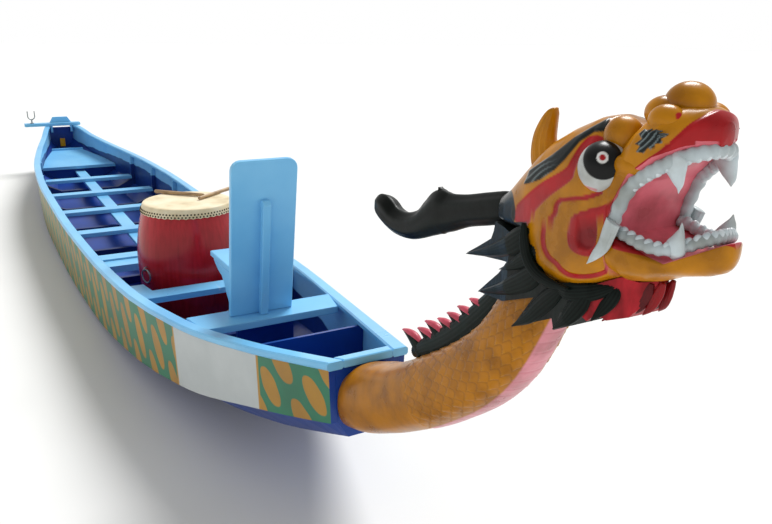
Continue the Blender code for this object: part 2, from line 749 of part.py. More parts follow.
def addFootrest(collection):
    low = FOOTREST_TOP - BOARD_THICKNESS
    corner = FOOTREST_NOTCH_HALF
    notch = corner - FOOTREST_NOTCH_SLOPE
    ribs = FOOTREST_FRAME_AT - FRAME_DEPTH / 2, FOOTREST_FRAME_AT + FRAME_DEPTH / 2
    places = (FOOTREST_FORWARD, *ribs, FOOTREST_AFT)
    half = [(-aft, betweenRibs(aft, low, PLANK_SEAT)) for aft in places]
    half += [(-FOOTREST_AFT, corner), (-FOOTREST_NOTCH, notch)]
    outline = half + [(along, -aside) for along, aside in reversed(half)]
    board = flatPiece("footrest_board", outline, low, FOOTREST_TOP, PALE_BLUE, collection, "above")
    return rounded(board, BOARD_ROUND, 1)


def addSeatBoard(collection):
    def halfAt(aft):
        return hullAt(aft)[0] - RAIL_WIDTH - PLANK_SEAT

    ends = (SEAT_BOARD_FORWARD, SEAT_BOARD_AFT)
    return addBoard("seat_board", *ends, SEAT_BOARD_TOP, BOARD_THICKNESS, halfAt, collection)


# How far the backrest's forward face is ahead of the bow transom at this height: negative, as it is aft
def backrestFace(height):
    return (height - SEAT_BOARD_TOP) * math.tan(BACKREST_LEAN) - BACKREST_FOOT_AT


# The tall leaning board, with its upper corners rounded
def addBackrest(collection):
    foot = SEAT_BOARD_TOP + SEAT
    half = BACKREST_HALF
    corner = BACKREST_CORNER
    outline = [(-half, 0), (half, 0)]
    for side, first in ((1, 0), (-1, 90)):
        for step in range(5):
            angle = math.radians(first + step * 22.5)
            aside = side * (half - corner) + corner * math.cos(angle)
            outline.append((aside, BACKREST_LENGTH - corner + corner * math.sin(angle)))
    reach = BACKREST_THICKNESS / math.cos(BACKREST_LEAN)
    drop = BACKREST_THICKNESS * math.sin(BACKREST_LEAN)
    rings = []
    for behind in (0, 1):
        ring = []
        for aside, along in outline:
            up = foot + along * math.cos(BACKREST_LEAN) + behind * drop * (along > 0)
            forward = backrestFace(up) - behind * reach
            ring.append((BOW_X + forward, BACKREST_MIDDLE + aside, up))
        rings.append(ring)
    return rounded(loft("backrest", rings, PALE_BLUE, collection), BOARD_ROUND, 1)


# The rib up the backrest's forward face, sloped off at its top
def addBackrestRib(collection):
    foot = SEAT_BOARD_TOP + SEAT
    high = foot + BACKREST_RIB_LENGTH * math.cos(BACKREST_LEAN)
    ledge = high - BACKREST_RIB_SLOPE
    reach = BACKREST_RIB_DEPTH / math.cos(BACKREST_LEAN)
    outline = [
        (backrestFace(foot) + SEAT, foot), (backrestFace(foot) + reach, foot),
        (backrestFace(ledge) + reach, ledge), (backrestFace(high) + reach / 2, high),
        (backrestFace(high) + SEAT, high),
    ]
    low = BACKREST_MIDDLE - BACKREST_RIB_WIDTH / 2
    rib = flatPiece("backrest_rib", outline, low, low + BACKREST_RIB_WIDTH, PALE_BLUE, collection)
    return rounded(rib, BOARD_ROUND, 1)


# The drummer's seat, its two cheeks on the seat board, and the post under that board
def addSeat(collection):
    def backAt(height):
        return backrestFace(height) - BACKREST_THICKNESS / math.cos(BACKREST_LEAN) - PLANK_SEAT

    low = SEAT_TOP - SEAT_THICKNESS
    outline = [(backAt(SEAT_TOP), SEAT_TOP), (-SEAT_AFT, SEAT_TOP), (-SEAT_AFT, low), (backAt(low), low)]
    seat = flatPiece("drummer_seat", outline, -SEAT_STARBOARD, SEAT_PORT, PALE_BLUE, collection)
    rounded(seat, BOARD_ROUND, 1)

    top = low - SEAT
    foot = SEAT_BOARD_TOP + SEAT
    curve = [(-aft, up) for aft, up in CHEEK_CURVE]
    outline = [(backAt(foot), foot), (backAt(top), top), (-CHEEK_TOP_AFT, top), *curve]
    outline.append((-SEAT_BOARD_AFT + SEAT, foot))
    starboard = CHEEK_INSET - SEAT_STARBOARD
    port = SEAT_PORT - CHEEK_INSET - CHEEK_THICKNESS
    for side, low in (("starboard", starboard), ("port", port)):
        cheek = flatPiece(f"seat_cheek_{side}", outline, low, low + CHEEK_THICKNESS, PALE_BLUE, collection)
        rounded(cheek, BOARD_ROUND, 1)

    under = SEAT_BOARD_TOP - BOARD_THICKNESS - SEAT
    front = BACKREST_FOOT_AT - SEAT_POST_THICKNESS / 2
    back = BACKREST_FOOT_AT + SEAT_POST_THICKNESS / 2
    feet = [(-aft, hullAt(aft)[5] + BOTTOM_THICKNESS + PLANK_SEAT) for aft in (back, front)]
    post = [*feet, (-front, under), (-back, under)]
    return flatPiece("seat_post", post, -SEAT_STARBOARD, SEAT_PORT, NAVY, collection)


# The steersman's deck, rising aft, with a raised rim along its after edge
def addDeck(collection):
    def ring(aft, lift):
        share = (aft - DECK_FORWARD) / (DECK_AFT - DECK_FORWARD)
        top = DECK_FORWARD_TOP + (DECK_AFT_TOP - DECK_FORWARD_TOP) * share
        low = top - DECK_THICKNESS
        half = insideHalf(aft, low) - DECK_GAP
        outline = [(half, low), (half, top + lift), (-half, top + lift), (-half, low)]
        return [onBoat(aft, aside, up) for aside, up in outline]

    rim = DECK_AFT - DECK_RIM_WIDTH
    inner = [place for place in SECTIONS if DECK_FORWARD + SEAT < place < rim - SEAT]
    rings = [ring(place, 0) for place in (DECK_FORWARD, *inner, rim)]
    rings += [ring(rim + SEAT, DECK_RIM_HEIGHT), ring(DECK_AFT, DECK_RIM_HEIGHT)]
    deck = loft("aft_deck", rings, PALE_BLUE, collection)
    under = DECK_FORWARD_TOP - DECK_THICKNESS - SEAT
    half = BULKHEAD_THICKNESS / 2
    crossPlate("deck_bulkhead", DECK_BULKHEAD_AT - half, DECK_BULKHEAD_AT + half, under, collection)
    return deck


# The beam across the stern on its two knees, the board on it, and the block inside the transom
def addStern(collection):
    low = hullAt(BEAM_AFT)[1] + SEAT
    top = low + BEAM_THICKNESS
    ends = onBoat(BEAM_AFT, -BEAM_STARBOARD, low), onBoat(BEAM_FORWARD, BEAM_PORT, top)
    rounded(block("stern_beam", *ends, PALE_BLUE, collection), BOARD_ROUND, 1)
    outer = hullAt(KNEE_AFT)[0] - RAIL_WIDTH - PLANK_SEAT
    inner = outer - KNEE_THICKNESS
    foot = low - 2 * SEAT - KNEE_HEIGHT
    for name, near, far in (("beam_knee_starboard", -outer, -inner), ("beam_knee_port", inner, outer)):
        ends = onBoat(KNEE_AFT, near, foot), onBoat(KNEE_FORWARD, far, low - SEAT)
        block(name, *ends, PALE_BLUE, collection)

    foot = top + SEAT
    ends = [(STERN_BOARD_FOOT_HALF, foot), (STERN_BOARD_TOP_HALF, foot + STERN_BOARD_HEIGHT)]
    outline = ends + [(-half, up) for half, up in reversed(ends)]
    back = BOW_X - STERN_BOARD_AFT
    front = back + STERN_BOARD_THICKNESS
    board = flatPiece("stern_board", outline, back, front, PALE_BLUE, collection, "ahead")
    rounded(board, BOARD_ROUND, 1)

    after = HULL_LENGTH - TRANSOM_THICKNESS - SEAT
    forward = after - TAIL_BLOCK_DEPTH
    floor = hullAt(after)[5] + BOTTOM_THICKNESS + PLANK_SEAT
    ends = onBoat(after, -TAIL_BLOCK_HALF, floor), onBoat(forward, TAIL_BLOCK_HALF, TAIL_BLOCK_TOP)
    rounded(block("tail_block", *ends, YELLOW, collection), BOARD_ROUND, 1)
    return top


# The forked rowlock for the steering oar, turning on the beam about its own stem
def addCrutch(beamTop, collection, cutters):
    place = onBoat(CRUTCH_AT, -CRUTCH_OFFSET, beamTop + SEAT)
    bend = CRUTCH_STEM + CRUTCH_HALF_GAP
    fork = [(0, -CRUTCH_HALF_GAP, bend + CRUTCH_PRONG)]
    for step in range(CRUTCH_STEPS + 1):
        angle = math.pi * (1 + step / CRUTCH_STEPS)
        fork.append((0, CRUTCH_HALF_GAP * math.cos(angle), bend + CRUTCH_HALF_GAP * math.sin(angle)))
    fork.append((0, CRUTCH_HALF_GAP, bend + CRUTCH_PRONG))
    crutch = rodAlong("oar_crutch", fork, CRUTCH_ROD, place, STEEL, collection)
    profile = [
        (0, CRUTCH_STEM), (CRUTCH_STEM_RADIUS, CRUTCH_STEM), (CRUTCH_STEM_RADIUS, CRUTCH_FLANGE_HEIGHT),
        (CRUTCH_FLANGE, CRUTCH_FLANGE_HEIGHT), (CRUTCH_FLANGE, 0), (0, 0),
    ]
    stem = asCutter(turned("crutch stem", profile, place, STEEL, cutters, CRUTCH_STEM_SIDES))
    return boolean(crutch, "UNION", stem)


# The drum's outer radius at this height: a parabola from the ends to the middle
def barrel(height):
    share = (2 * height - DRUM_TOP - DRUM_BOTTOM) / (DRUM_TOP - DRUM_BOTTOM)
    return DRUM_END_RADIUS + (DRUM_MIDDLE_RADIUS - DRUM_END_RADIUS) * (1 - share ** 2)


# The heights of the barrel's rings of corners, from the top down
def barrelLevels():
    top = DRUM_TOP - HIDE_THICKNESS - SEAT
    low = DRUM_BOTTOM + HIDE_THICKNESS + SEAT
    return np.linspace(top, low, DRUM_RINGS)


# The distance from the drum's axis to the middle of one of its flats, at this height
def barrelFlat(height):
    levels = barrelLevels()[::-1]
    return float(np.interp(height, levels, barrel(levels))) * math.cos(math.pi / DRUM_SIDES)


# The hollow barrel, a hide with its collar over each end, and the two timbers that it stands on
def addDrum(collection):
    place = (BOW_X - DRUM_AT, 0, 0)
    levels = barrelLevels()
    body = [(barrel(up), up) for up in levels] + [(barrel(up) - DRUM_WALL, up) for up in reversed(levels)]
    turned("drum_body", body, place, DRUM_RED, collection)

    for name, end, inward in (("drum_hide_top", DRUM_TOP, -1), ("drum_hide_bottom", DRUM_BOTTOM, 1)):
        under = end + inward * HIDE_THICKNESS
        edge = end + inward * HIDE_COLLAR
        outer = [(barrel(up) + HIDE_THICKNESS, up) for up in np.linspace(under, edge, 3)]
        inner = [(barrel(up) + PLANK_SEAT, up) for up in np.linspace(edge, under, 3)]
        profile = [(0, end), (barrel(end), end), *outer, *inner, (0, under)]
        turned(name, profile[::-inward], place, HIDE, collection)

    for i, centre in enumerate(DRUM_TIMBERS_AT):
        half = DRUM_TIMBER_DEPTH / 2
        crossPlate(f"drum_timber_{i + 1}", centre - half, centre + half, DRUM_BOTTOM - SEAT, collection)


# A ring handle and its staple on each side of the drum
def addRings(collection):
    for side, sign in (("starboard", -1), ("port", 1)):
        outward = Vector((-sign * math.cos(RING_TURN), sign * math.sin(RING_TURN), 0))
        start = barrelFlat(STAPLE_HEIGHT) + SEAT
        bend = start + STAPLE_REACH - STAPLE_HALF_HEIGHT
        reaches = [(start, STAPLE_HALF_HEIGHT)]
        for step in range(STAPLE_STEPS + 1):
            angle = math.pi * (0.5 - step / STAPLE_STEPS)
            up = STAPLE_HALF_HEIGHT * math.sin(angle)
            reaches.append((bend + STAPLE_HALF_HEIGHT * math.cos(angle), up))
        reaches.append((start, -STAPLE_HALF_HEIGHT))
        path = [outward * reach + Vector((0, 0, up)) for reach, up in reaches]
        centre = Vector((BOW_X - DRUM_AT, 0, STAPLE_HEIGHT))
        rodAlong(f"drum_staple_{side}", path, STAPLE_ROD, centre, STEEL, collection)

        hang = STAPLE_ROD + RING_ROD + SEAT - STAPLE_HALF_HEIGHT
        pin = centre + outward * bend + Vector((0, 0, hang))
        bpy.ops.mesh.primitive_torus_add(
            major_radius=RING_RADIUS, minor_radius=RING_ROD,
            major_segments=RING_STEPS, minor_segments=RING_SIDES)
        made = bpy.context.active_object
        mesh = made.data
        bpy.data.objects.remove(made)
        mesh.transform(Matrix.Translation((0, 0, -RING_RADIUS)) @ Matrix.Rotation(math.pi / 2, 4, "Y"))
        mesh.transform(Matrix.Rotation(math.atan2(outward.y, outward.x), 4, "Z"))
        ring = addMesh(f"drum_ring_{side}", mesh, STEEL, collection)
        ring.location = pin


def addSticks(collection):
    level = DRUM_TOP + STICK_RADIUS + SEAT
    for name, butt, tip in STICKS:
        start = Vector(onBoat(*butt, level))
        end = Vector(onBoat(*tip, level))
        rodAlong(name, [(0, 0, 0), end - start], STICK_RADIUS, start, WOOD, collection)


# Rings round the neck or the horn: the first one upright against what it grows from, the rest square to it
def stemRings(stations, sides, grow=0.0):
    places = [Vector((forward, 0, up)) for forward, up, _, _ in stations]
    rings = []
    for i, (_, _, half, rise) in enumerate(stations):
        along = (places[min(i + 1, len(places) - 1)] - places[max(0, i - 1)]).normalized()
        across = Vector((-along.z, 0, along.x)) if i else Vector((0, 0, math.copysign(1, along.x)))
        centre = Vector((BOW_X + SEAT, 0, 0)) + places[i] + along * (grow if i else -grow)
        ring = []
        for j in range(sides):
            angle = 2 * math.pi * j / sides
            square = 1 + NECK_SQUARENESS * math.sin(2 * angle) ** 2
            aside = (half + grow) * square * math.cos(angle)
            up = (rise + grow) * square * math.sin(angle)
            ring.append(centre + Vector((0, aside, 0)) + across * up)
        rings.append(ring)
    return rings


# Leaves that lean aft, each with a notch ahead of it, above a foot that the neck's space cuts away
def finOutline():
    last = tuple(a + b for a, b in zip(FIN_TIPS[-1], FIN_LAST_LEAF))
    outline = []
    for tip, following in zip(FIN_TIPS, [*FIN_TIPS[1:], last]):
        outline.append(tip)
        outline.append((following[0] - FIN_NOTCH[0], following[1] - FIN_NOTCH[1]))
    return outline + [(forward + FIN_FOOT[0], up - FIN_FOOT[1]) for forward, up in reversed(FIN_TIPS)]


# Upright rings through a carved piece, rounder above and squarer below the widest height or the reverse
def carvedRings(sections, curve, grow=0.0):
    upper, lower = curve
    rings = []
    for forward, under, widest, top, half in sections:
        ring = []
        for j in range(SECTION_SIDES):
            angle = 2 * math.pi * j / SECTION_SIDES
            power = 2 / (upper if math.sin(angle) >= 0 else lower)
            reach = top + grow - widest if math.sin(angle) >= 0 else widest - under + grow
            aside = math.copysign(abs(math.cos(angle)) ** power, math.cos(angle)) * (half + grow)
            up = math.copysign(abs(math.sin(angle)) ** power, math.sin(angle)) * reach
            ring.append((BOW_X + forward, aside, widest + up))
        rings.append(ring)
    return rings


# The line moved to its left as it runs, by this distance
def shifted(line, distance):
    moved = []
    for i, (forward, up) in enumerate(line):
        before = line[max(0, i - 1)]
        after = line[min(len(line) - 1, i + 1)]
        run = math.dist(before, after)
        left = (before[1] - after[1]) / run, (after[0] - before[0]) / run
        moved.append((forward + left[0] * distance, up + left[1] * distance))
    return moved


# A block of this outline from above, given as distance forward and half width
def planBlock(name, plan, low, high, cutters):
    outline = [*plan, *((forward, -half) for forward, half in reversed(plan))]
    return asCutter(flatPiece(name, outline, low, high, WHITE, cutters, "above"))


# Each row of teeth with its gum: a horseshoe, open at the back of the mouth
def addTeeth(collection, cutters):
    rows = (
        ("upper_teeth", MOUTH_ROOF, UPPER_BITE, UPPER_ROW_OUTSIDE, UPPER_ROW_INSIDE),
        ("lower_teeth", MOUTH_FLOOR, LOWER_BITE, LOWER_ROW_OUTSIDE, LOWER_ROW_INSIDE),
    )
    for name, gum, bite, outside, inside in rows:
        outline = shifted(gum, PLANK_SEAT) + list(bite)
        half = outside[0][1]
        row = flatPiece(name, outline, -half, half, WHITE, collection)
        boolean(row, "INTERSECT", planBlock(f"{name} bounds", outside, MOUTH_LOW, MOUTH_HIGH, cutters))
        boolean(row, "DIFFERENCE", planBlock(f"{name} space", inside, MOUTH_LOW, MOUTH_HIGH, cutters))


# A bulging eye: the part of a ball that stands clear of the side of the head
def addEye(name, sign, headSpace, collection):
    shape = bmesh.new()
    bmesh.ops.create_uvsphere(
        shape, u_segments=EYE_SEGMENTS, v_segments=EYE_SEGMENTS // 2, radius=EYE_RADIUS)
    eye = fromBmesh(name, shape, WHITE, collection)
    eye.location = (BOW_X + EYE_AT[0], sign * EYE_OFFSET, EYE_AT[1])
    return boolean(eye, "DIFFERENCE", headSpace)


def addDragon(collection, cutters):
    loft("dragon_neck", stemRings(NECK_STATIONS, NECK_SIDES), MUSTARD, collection)
    around = stemRings(NECK_STATIONS, NECK_SIDES, PLANK_SEAT)
    neckSpace = asCutter(loft("neck space", around, MUSTARD, cutters))
    head = loft("dragon_head", carvedRings(HEAD_SECTIONS, HEAD_CURVE), MUSTARD, collection)
    boolean(head, "DIFFERENCE", neckSpace)
    around = carvedRings(HEAD_SECTIONS, HEAD_CURVE, SEAT)
    headSpace = asCutter(loft("head space", around, MUSTARD, cutters))
    loft("lower_jaw", carvedRings(JAW_SECTIONS, JAW_CURVE), MUSTARD, collection)
    loft("horn", stemRings(HORN_STATIONS, HORN_SIDES), BLACK, collection)

    half = max(width for _, width in MANE_WIDTH)
    mane = flatPiece("mane", MANE_OUTLINE, -half, half, BLACK, collection)
    boolean(mane, "INTERSECT", planBlock("mane bounds", MANE_WIDTH, MANE_LOW, MANE_HIGH, cutters))
    boolean(mane, "DIFFERENCE", neckSpace)
    fin = flatPiece("dorsal_fin", finOutline(), -FIN_HALF, FIN_HALF, BLACK, collection)
    boolean(fin, "DIFFERENCE", neckSpace)

    addTeeth(collection, cutters)
    crest = flatPiece("crest", CREST_OUTLINE, -CREST_HALF, CREST_HALF, MUSTARD, collection)
    boolean(rounded(crest, CREST_ROUND), "DIFFERENCE", headSpace)
    for side, sign in (("starboard", -1), ("port", 1)):
        addEye(f"eye_{side}", sign, headSpace, collection)


def main():
    clearScene()
    boat = newCollection("dragon boat")
    cutters = newCollection("cutters", hidden=True)

    addBottom(boat)
    addSidePlank("side_plank_starboard", -1, boat)
    addSidePlank("side_plank_port", 1, boat)
    top = HULL_STATIONS[0][2]
    crossPlate("bow_transom", 0, TRANSOM_THICKNESS, top, boat)
    crossPlate("stern_transom", HULL_LENGTH - TRANSOM_THICKNESS, HULL_LENGTH, top, boat)
    half = BULKHEAD_THICKNESS / 2
    crossPlate("bow_bulkhead", BULKHEAD_AT - half, BULKHEAD_AT + half, BULKHEAD_TOP, boat)
    addGunwale("gunwale_starboard", -1, boat)
    addGunwale("gunwale_port", 1, boat)
    addBowRail(boat)

    for i, place in enumerate((*thwartPlaces(), FOOTREST_FRAME_AT)):
        addFrame(f"frame_{i + 1}", place, boat)
    addThwarts(boat)
    addCentrePlank(boat)
    addFootrest(boat)
    addSeatBoard(boat)
    addBackrest(boat)
    addBackrestRib(boat)
    addSeat(boat)
    addDeck(boat)
    beamTop = addStern(boat)
    addCrutch(beamTop, boat, cutters)
    addDrum(boat)
    addRings(boat)
    addSticks(boat)
    addDragon(boat, cutters)


main()
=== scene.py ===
import math

import bpy
import numpy as np
from mathutils import Matrix, Vector


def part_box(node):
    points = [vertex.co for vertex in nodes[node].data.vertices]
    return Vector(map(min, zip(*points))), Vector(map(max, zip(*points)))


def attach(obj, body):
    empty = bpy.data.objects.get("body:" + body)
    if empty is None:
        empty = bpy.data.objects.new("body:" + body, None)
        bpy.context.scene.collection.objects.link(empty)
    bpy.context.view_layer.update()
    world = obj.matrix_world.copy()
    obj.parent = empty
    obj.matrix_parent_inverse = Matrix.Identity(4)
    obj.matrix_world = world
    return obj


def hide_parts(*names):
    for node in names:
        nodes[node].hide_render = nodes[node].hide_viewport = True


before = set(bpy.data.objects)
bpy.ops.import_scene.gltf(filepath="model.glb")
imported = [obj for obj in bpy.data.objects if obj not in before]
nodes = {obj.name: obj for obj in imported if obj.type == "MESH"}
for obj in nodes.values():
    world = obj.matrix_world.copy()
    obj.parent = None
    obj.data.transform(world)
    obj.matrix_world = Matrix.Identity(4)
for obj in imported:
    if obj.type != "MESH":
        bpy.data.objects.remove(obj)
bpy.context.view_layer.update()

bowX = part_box("bow_transom")[1].x  # the transom's forward face; the dragon is placed from here
seat = 0.0003  # the gap that touching pieces keep
bothSides = ((-1, "starboard"), (1, "port"))
middle = 0.0001  # how far aside a leaf on the boat's middle is set, as zero would read as no side given

# The photograph's camera: its place, the way it looks and its focal length, for an image of 772 by 524
camera = {
    "place": (bowX + 1.861, -0.997, 1.659),
    "right": (0.4904, 0.8714, 0.0143),
    "forward": (-0.8296, 0.4718, -0.2984),
    "up": (-0.2668, 0.1345, 0.9543),
    "focalPx": 735.1,
    "imagePx": (772, 524),
    "sensorMm": 36.0,
}


# Numbers, colours and places


def linearRgb(hexText):  # sRGB hex to linear values
    share = np.array([int(hexText[i:i + 2], 16) for i in (0, 2, 4)]) / 255
    return np.where(share <= 0.04045, share / 12.92, ((share + 0.055) / 1.055) ** 2.4)


def rgba(hexText):  # the same with full opacity
    return (*linearRgb(hexText), 1.0)


# Where points of the boat fall in the photograph, with the port side folded over to starboard
def toPhoto(points):
    folded = np.stack([points[:, 0], -np.abs(points[:, 1]), points[:, 2]], 1)
    away = folded - np.array(camera["place"])
    depth = away @ np.array(camera["forward"])
    wide, high = camera["imagePx"]
    across = wide / 2 + camera["focalPx"] * (away @ np.array(camera["right"])) / depth
    down = high / 2 - camera["focalPx"] * (away @ np.array(camera["up"])) / depth
    return np.stack([across, down], 1)


# The points on the boat's upright lengthwise planes that the photograph shows at these pixels
def fromPhoto(pixels, aside):
    pixels = np.asarray(pixels, float)
    wide, high = camera["imagePx"]
    ray = np.array(camera["forward"]) + (
        (pixels[:, :1] - wide / 2) * np.array(camera["right"])
        - (pixels[:, 1:2] - high / 2) * np.array(camera["up"])) / camera["focalPx"]
    reach = (np.asarray(aside, float) - camera["place"][1]) / ray[:, 1]
    return np.array(camera["place"]) + ray * reach[:, None]


# Rows of a table read as a smooth curve through every row, at this many even steps. Between two rows it
# is a cubic, and its slope at a row is half the way from the row before to the row after.
def smoothRows(table, count):
    rows = np.asarray(table, float)
    first = 2 * rows[0] - rows[1]
    last = 2 * rows[-1] - rows[-2]
    rows = np.vstack([first, rows, last])
    at = np.linspace(0, len(rows) - 3, count)
    index = np.minimum(at.astype(int), len(rows) - 4)
    share = (at - index)[:, None]
    before, start, end, after = (rows[index + step] for step in range(4))
    bend = 2 * before - 5 * start + 4 * end - after
    twist = 3 * start - before - 3 * end + after
    return 0.5 * (2 * start + (end - before) * share + bend * share ** 2 + twist * share ** 3)


# A closed outline rounded through its corners
def smoothOutline(corners, steps=5):
    ring = np.asarray(corners, float)
    ring = np.vstack([ring[-2:], ring, ring[:2]])
    return smoothRows(ring, (len(ring) - 1) * steps + 1)[2 * steps:-2 * steps]


# From 0 at low to 1 at high: three times the square of the share less twice its cube
def smoothStep(low, high, value):
    share = np.clip((value - low) / (high - low), 0, 1)
    return share * share * (3 - 2 * share)


# The share of paint at this depth inside an outline, in pixels: from none to all across the outline
def covered(depth, soft=0.5):
    return smoothStep(-soft, soft, depth)


# How far points lie from a line of straight runs: the least distance to the nearest spot of each run
def distanceTo(points, line):
    best = np.full(len(points), 1e9)
    line = np.asarray(line, float)
    for start, end in zip(line, line[1:]):
        run = end - start
        share = np.clip((points - start) @ run / (run @ run), 0, 1)
        best = np.minimum(best, np.linalg.norm(points - start - share[:, None] * run, axis=1))
    return best


# How far points lie inside an outline: positive inside, negative outside
def depthIn(points, outline):
    outline = np.asarray(outline, float)
    closed = np.vstack([outline, outline[:1]])
    inside = np.zeros(len(points), bool)
    for (x0, y0), (x1, y1) in zip(closed, closed[1:]):
        if y0 == y1:
            continue
        crossing = (points[:, 1] > y0) != (points[:, 1] > y1)
        inside ^= crossing & (points[:, 0] < x0 + (x1 - x0) * (points[:, 1] - y0) / (y1 - y0))
    return np.where(inside, 1, -1) * distanceTo(points, closed)


# Meshes


# Six times the volume that closed faces hold: the sum over their triangles of one corner times the cross
# product of the other two. It is negative where the faces point inwards.
def volumeOf(points, faces):
    first, second, third, *fourth = (points[corner] for corner in faces.T)
    total = np.einsum("ij,ij->i", first, np.cross(second, third)).sum()
    if fourth:
        total += np.einsum("ij,ij->i", first, np.cross(third, fourth[0])).sum()
    return total


# The four-sided faces between the rings of a grid, where each ring closes on itself
def ringQuads(rows, columns):
    ring = np.arange(rows - 1)[:, None] * columns
    around = np.arange(columns)[None, :]
    following = (around + 1) % columns
    above = ring + columns
    return np.stack([ring + around, ring + following, above + following, above + around], -1).reshape(-1, 4)


# A piece of the hull's body with its finish's slot, standing for a node where one is named
def newPiece(name, vertices, faces, material, node, sharp):
    mesh = bpy.data.meshes.new(name)
    mesh.from_pydata(vertices.tolist(), [], faces)
    mesh.shade_smooth()
    if sharp:
        mesh.set_sharp_from_angle(angle=math.radians(sharp))
    mesh.materials.append(material)
    piece = bpy.data.objects.new(name, mesh)
    bpy.context.scene.collection.objects.link(piece)
    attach(piece, "hull")
    if node:
        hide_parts(node)
    return piece


# A closed skin over a grid of points: rings follow each other along the first side and close round the
# second, with a fan of triangles over each end. Its paint is one colour, or one for each point.
def gridPiece(name, points, material, node=None, sharp=None, paint=None, uv=None):
    rows, columns = points.shape[:2]
    count = rows * columns
    vertices = np.vstack([points.reshape(-1, 3), points[0].mean(0), points[-1].mean(0)])
    around = np.arange(columns)
    following = (around + 1) % columns
    last = count - columns
    quads = ringQuads(rows, columns)
    fans = np.vstack([
        np.stack([np.full(columns, count), following, around], 1),
        np.stack([np.full(columns, count + 1), last + around, last + following], 1)])
    if volumeOf(vertices, quads) + volumeOf(vertices, fans) < 0:
        quads, fans = quads[:, ::-1], fans[:, ::-1]
    piece = newPiece(name, vertices, quads.tolist() + fans.tolist(), material, node, sharp)
    mesh = piece.data
    if paint is not None:
        paint = np.tile(linearRgb(paint), (count, 1)) if isinstance(paint, str) else paint
        colours = np.ones((len(vertices), 4))
        colours[:count, :3] = paint
        colours[count:, :3] = paint[-1]
        layer = mesh.color_attributes.new("paint", "FLOAT_COLOR", "POINT")
        layer.data.foreach_set("color", colours.astype(np.float32).ravel())
    if uv is not None:
        layer = mesh.uv_layers.new(name="surface")
        corner = np.zeros(len(mesh.loops), int)
        mesh.loops.foreach_get("vertex_index", corner)
        flat = np.vstack([uv.reshape(-1, 2), np.zeros((2, 2))])
        layer.data.foreach_set("uv", flat[corner].ravel())
    return piece


# Rings of an ellipse carried along a path: cosine times the width lies level across the path, and sine
# times the height stands on both. Square widens the ring at its corners. Over the length start the rings
# turn from upright to square on the path.
def alongPath(path, widths, heights, sides, square=0.0, start=None):
    along = np.gradient(path, axis=0)
    along /= np.linalg.norm(along, axis=1)[:, None]
    level = np.cross(along, (0, 0, 1)) if start is None else np.tile((0.0, 1.0, 0.0), (len(path), 1))
    level /= np.linalg.norm(level, axis=1)[:, None]
    across = np.cross(level, along)
    if start:
        share = smoothStep(0, start, np.linalg.norm(path - path[0], axis=1))[:, None]
        across = across * np.sign(across[:, 2:3]) * share + (1 - share) * np.array((0, 0, 1))
        across /= np.linalg.norm(across, axis=1)[:, None]
    angle = np.linspace(0, 2 * math.pi, sides, endpoint=False)
    shape = 1 + square * np.sin(2 * angle) ** 2
    return (path[:, None] + level[:, None] * (np.asarray(widths)[:, None] * shape * np.cos(angle))[..., None]
            + across[:, None] * (np.asarray(heights)[:, None] * shape * np.sin(angle))[..., None])


# A profile of radius and height turned about the vertical through a place
def turnedGrid(profile, place, sides):
    profile = np.asarray(profile, float)
    angle = np.linspace(0, 2 * math.pi, sides, endpoint=False)
    radius, up = profile[:, :1], profile[:, 1:]
    return np.stack([
        place[0] + radius * np.cos(angle), place[1] + radius * np.sin(angle),
        place[2] + up + 0 * angle], -1)


# A ball, or an egg, from pole to pole along the vertical
def ballGrid(centre, radii, rings=40, sides=56):
    down = np.linspace(0.02, math.pi - 0.02, rings)[:, None]
    angle = np.linspace(0, 2 * math.pi, sides, endpoint=False)
    shape = np.stack([
        np.sin(down) * np.cos(angle), np.sin(down) * np.sin(angle), np.cos(down) + 0 * angle], -1)
    return np.asarray(centre) + shape * np.asarray(radii)


# Many copies of one small grid as one mesh, each closed with a flat face over either end
def scattered(name, grids, material):
    vertices, faces, first = [], [], 0
    for grid in grids:
        rows, columns = grid.shape[:2]
        quads = ringQuads(rows, columns)
        flat = grid.reshape(-1, 3)
        if volumeOf(flat, quads) < 0:
            quads = quads[:, ::-1]
        vertices.append(flat)
        faces += (quads + first).tolist()
        ends = [list(range(columns)), list(range((rows - 1) * columns, rows * columns))]
        normal = np.cross(flat[1] - flat[0], flat[2] - flat[0])
        outward = flat[:columns].mean(0) - flat[-columns:].mean(0)
        ends[0 if normal @ outward < 0 else 1].reverse()
        faces += [[spot + first for spot in end] for end in ends]
        first += rows * columns
    return newPiece(name, np.vstack(vertices), faces, material, None, 50)


# Materials


def newMaterial(name):  # a material with its node tree and its shader
    material = bpy.data.materials.new(name)
    material.use_nodes = True
    return material, material.node_tree, material.node_tree.nodes["Principled BSDF"]


# Fills a node's sockets, in order and by name, each with a value or with another node's output
def fill(tree, node, *inOrder, **byName):
    spots = list(zip(node.inputs, inOrder))
    for key, value in byName.items():
        named = [spot for spot in node.inputs if key in (spot.identifier, spot.name.replace(" ", "_"))]
        spots.append((named[0], value))
    for spot, value in spots:
        if isinstance(value, bpy.types.Node):
            value = value.outputs[0]
        if isinstance(value, bpy.types.NodeSocket):
            tree.links.new(value, spot)
        else:
            spot.default_value = value


# Adds a node. Names that start small are its settings, the others its sockets, and stops are the places
# and colours of a ramp.
def addNode(tree, kind, *inOrder, stops=(), **named):
    node = tree.nodes.new(f"ShaderNode{kind}")
    for key in [key for key in named if key[0].islower()]:
        setattr(node, key, named.pop(key))
    fill(tree, node, *inOrder, **named)
    if stops:
        band = node.color_ramp.elements
        while len(band) < len(stops):
            band.new(0.5)
        for element, (at, hexText) in zip(band, stops):
            element.position = at
            element.color = rgba(hexText)
    return node


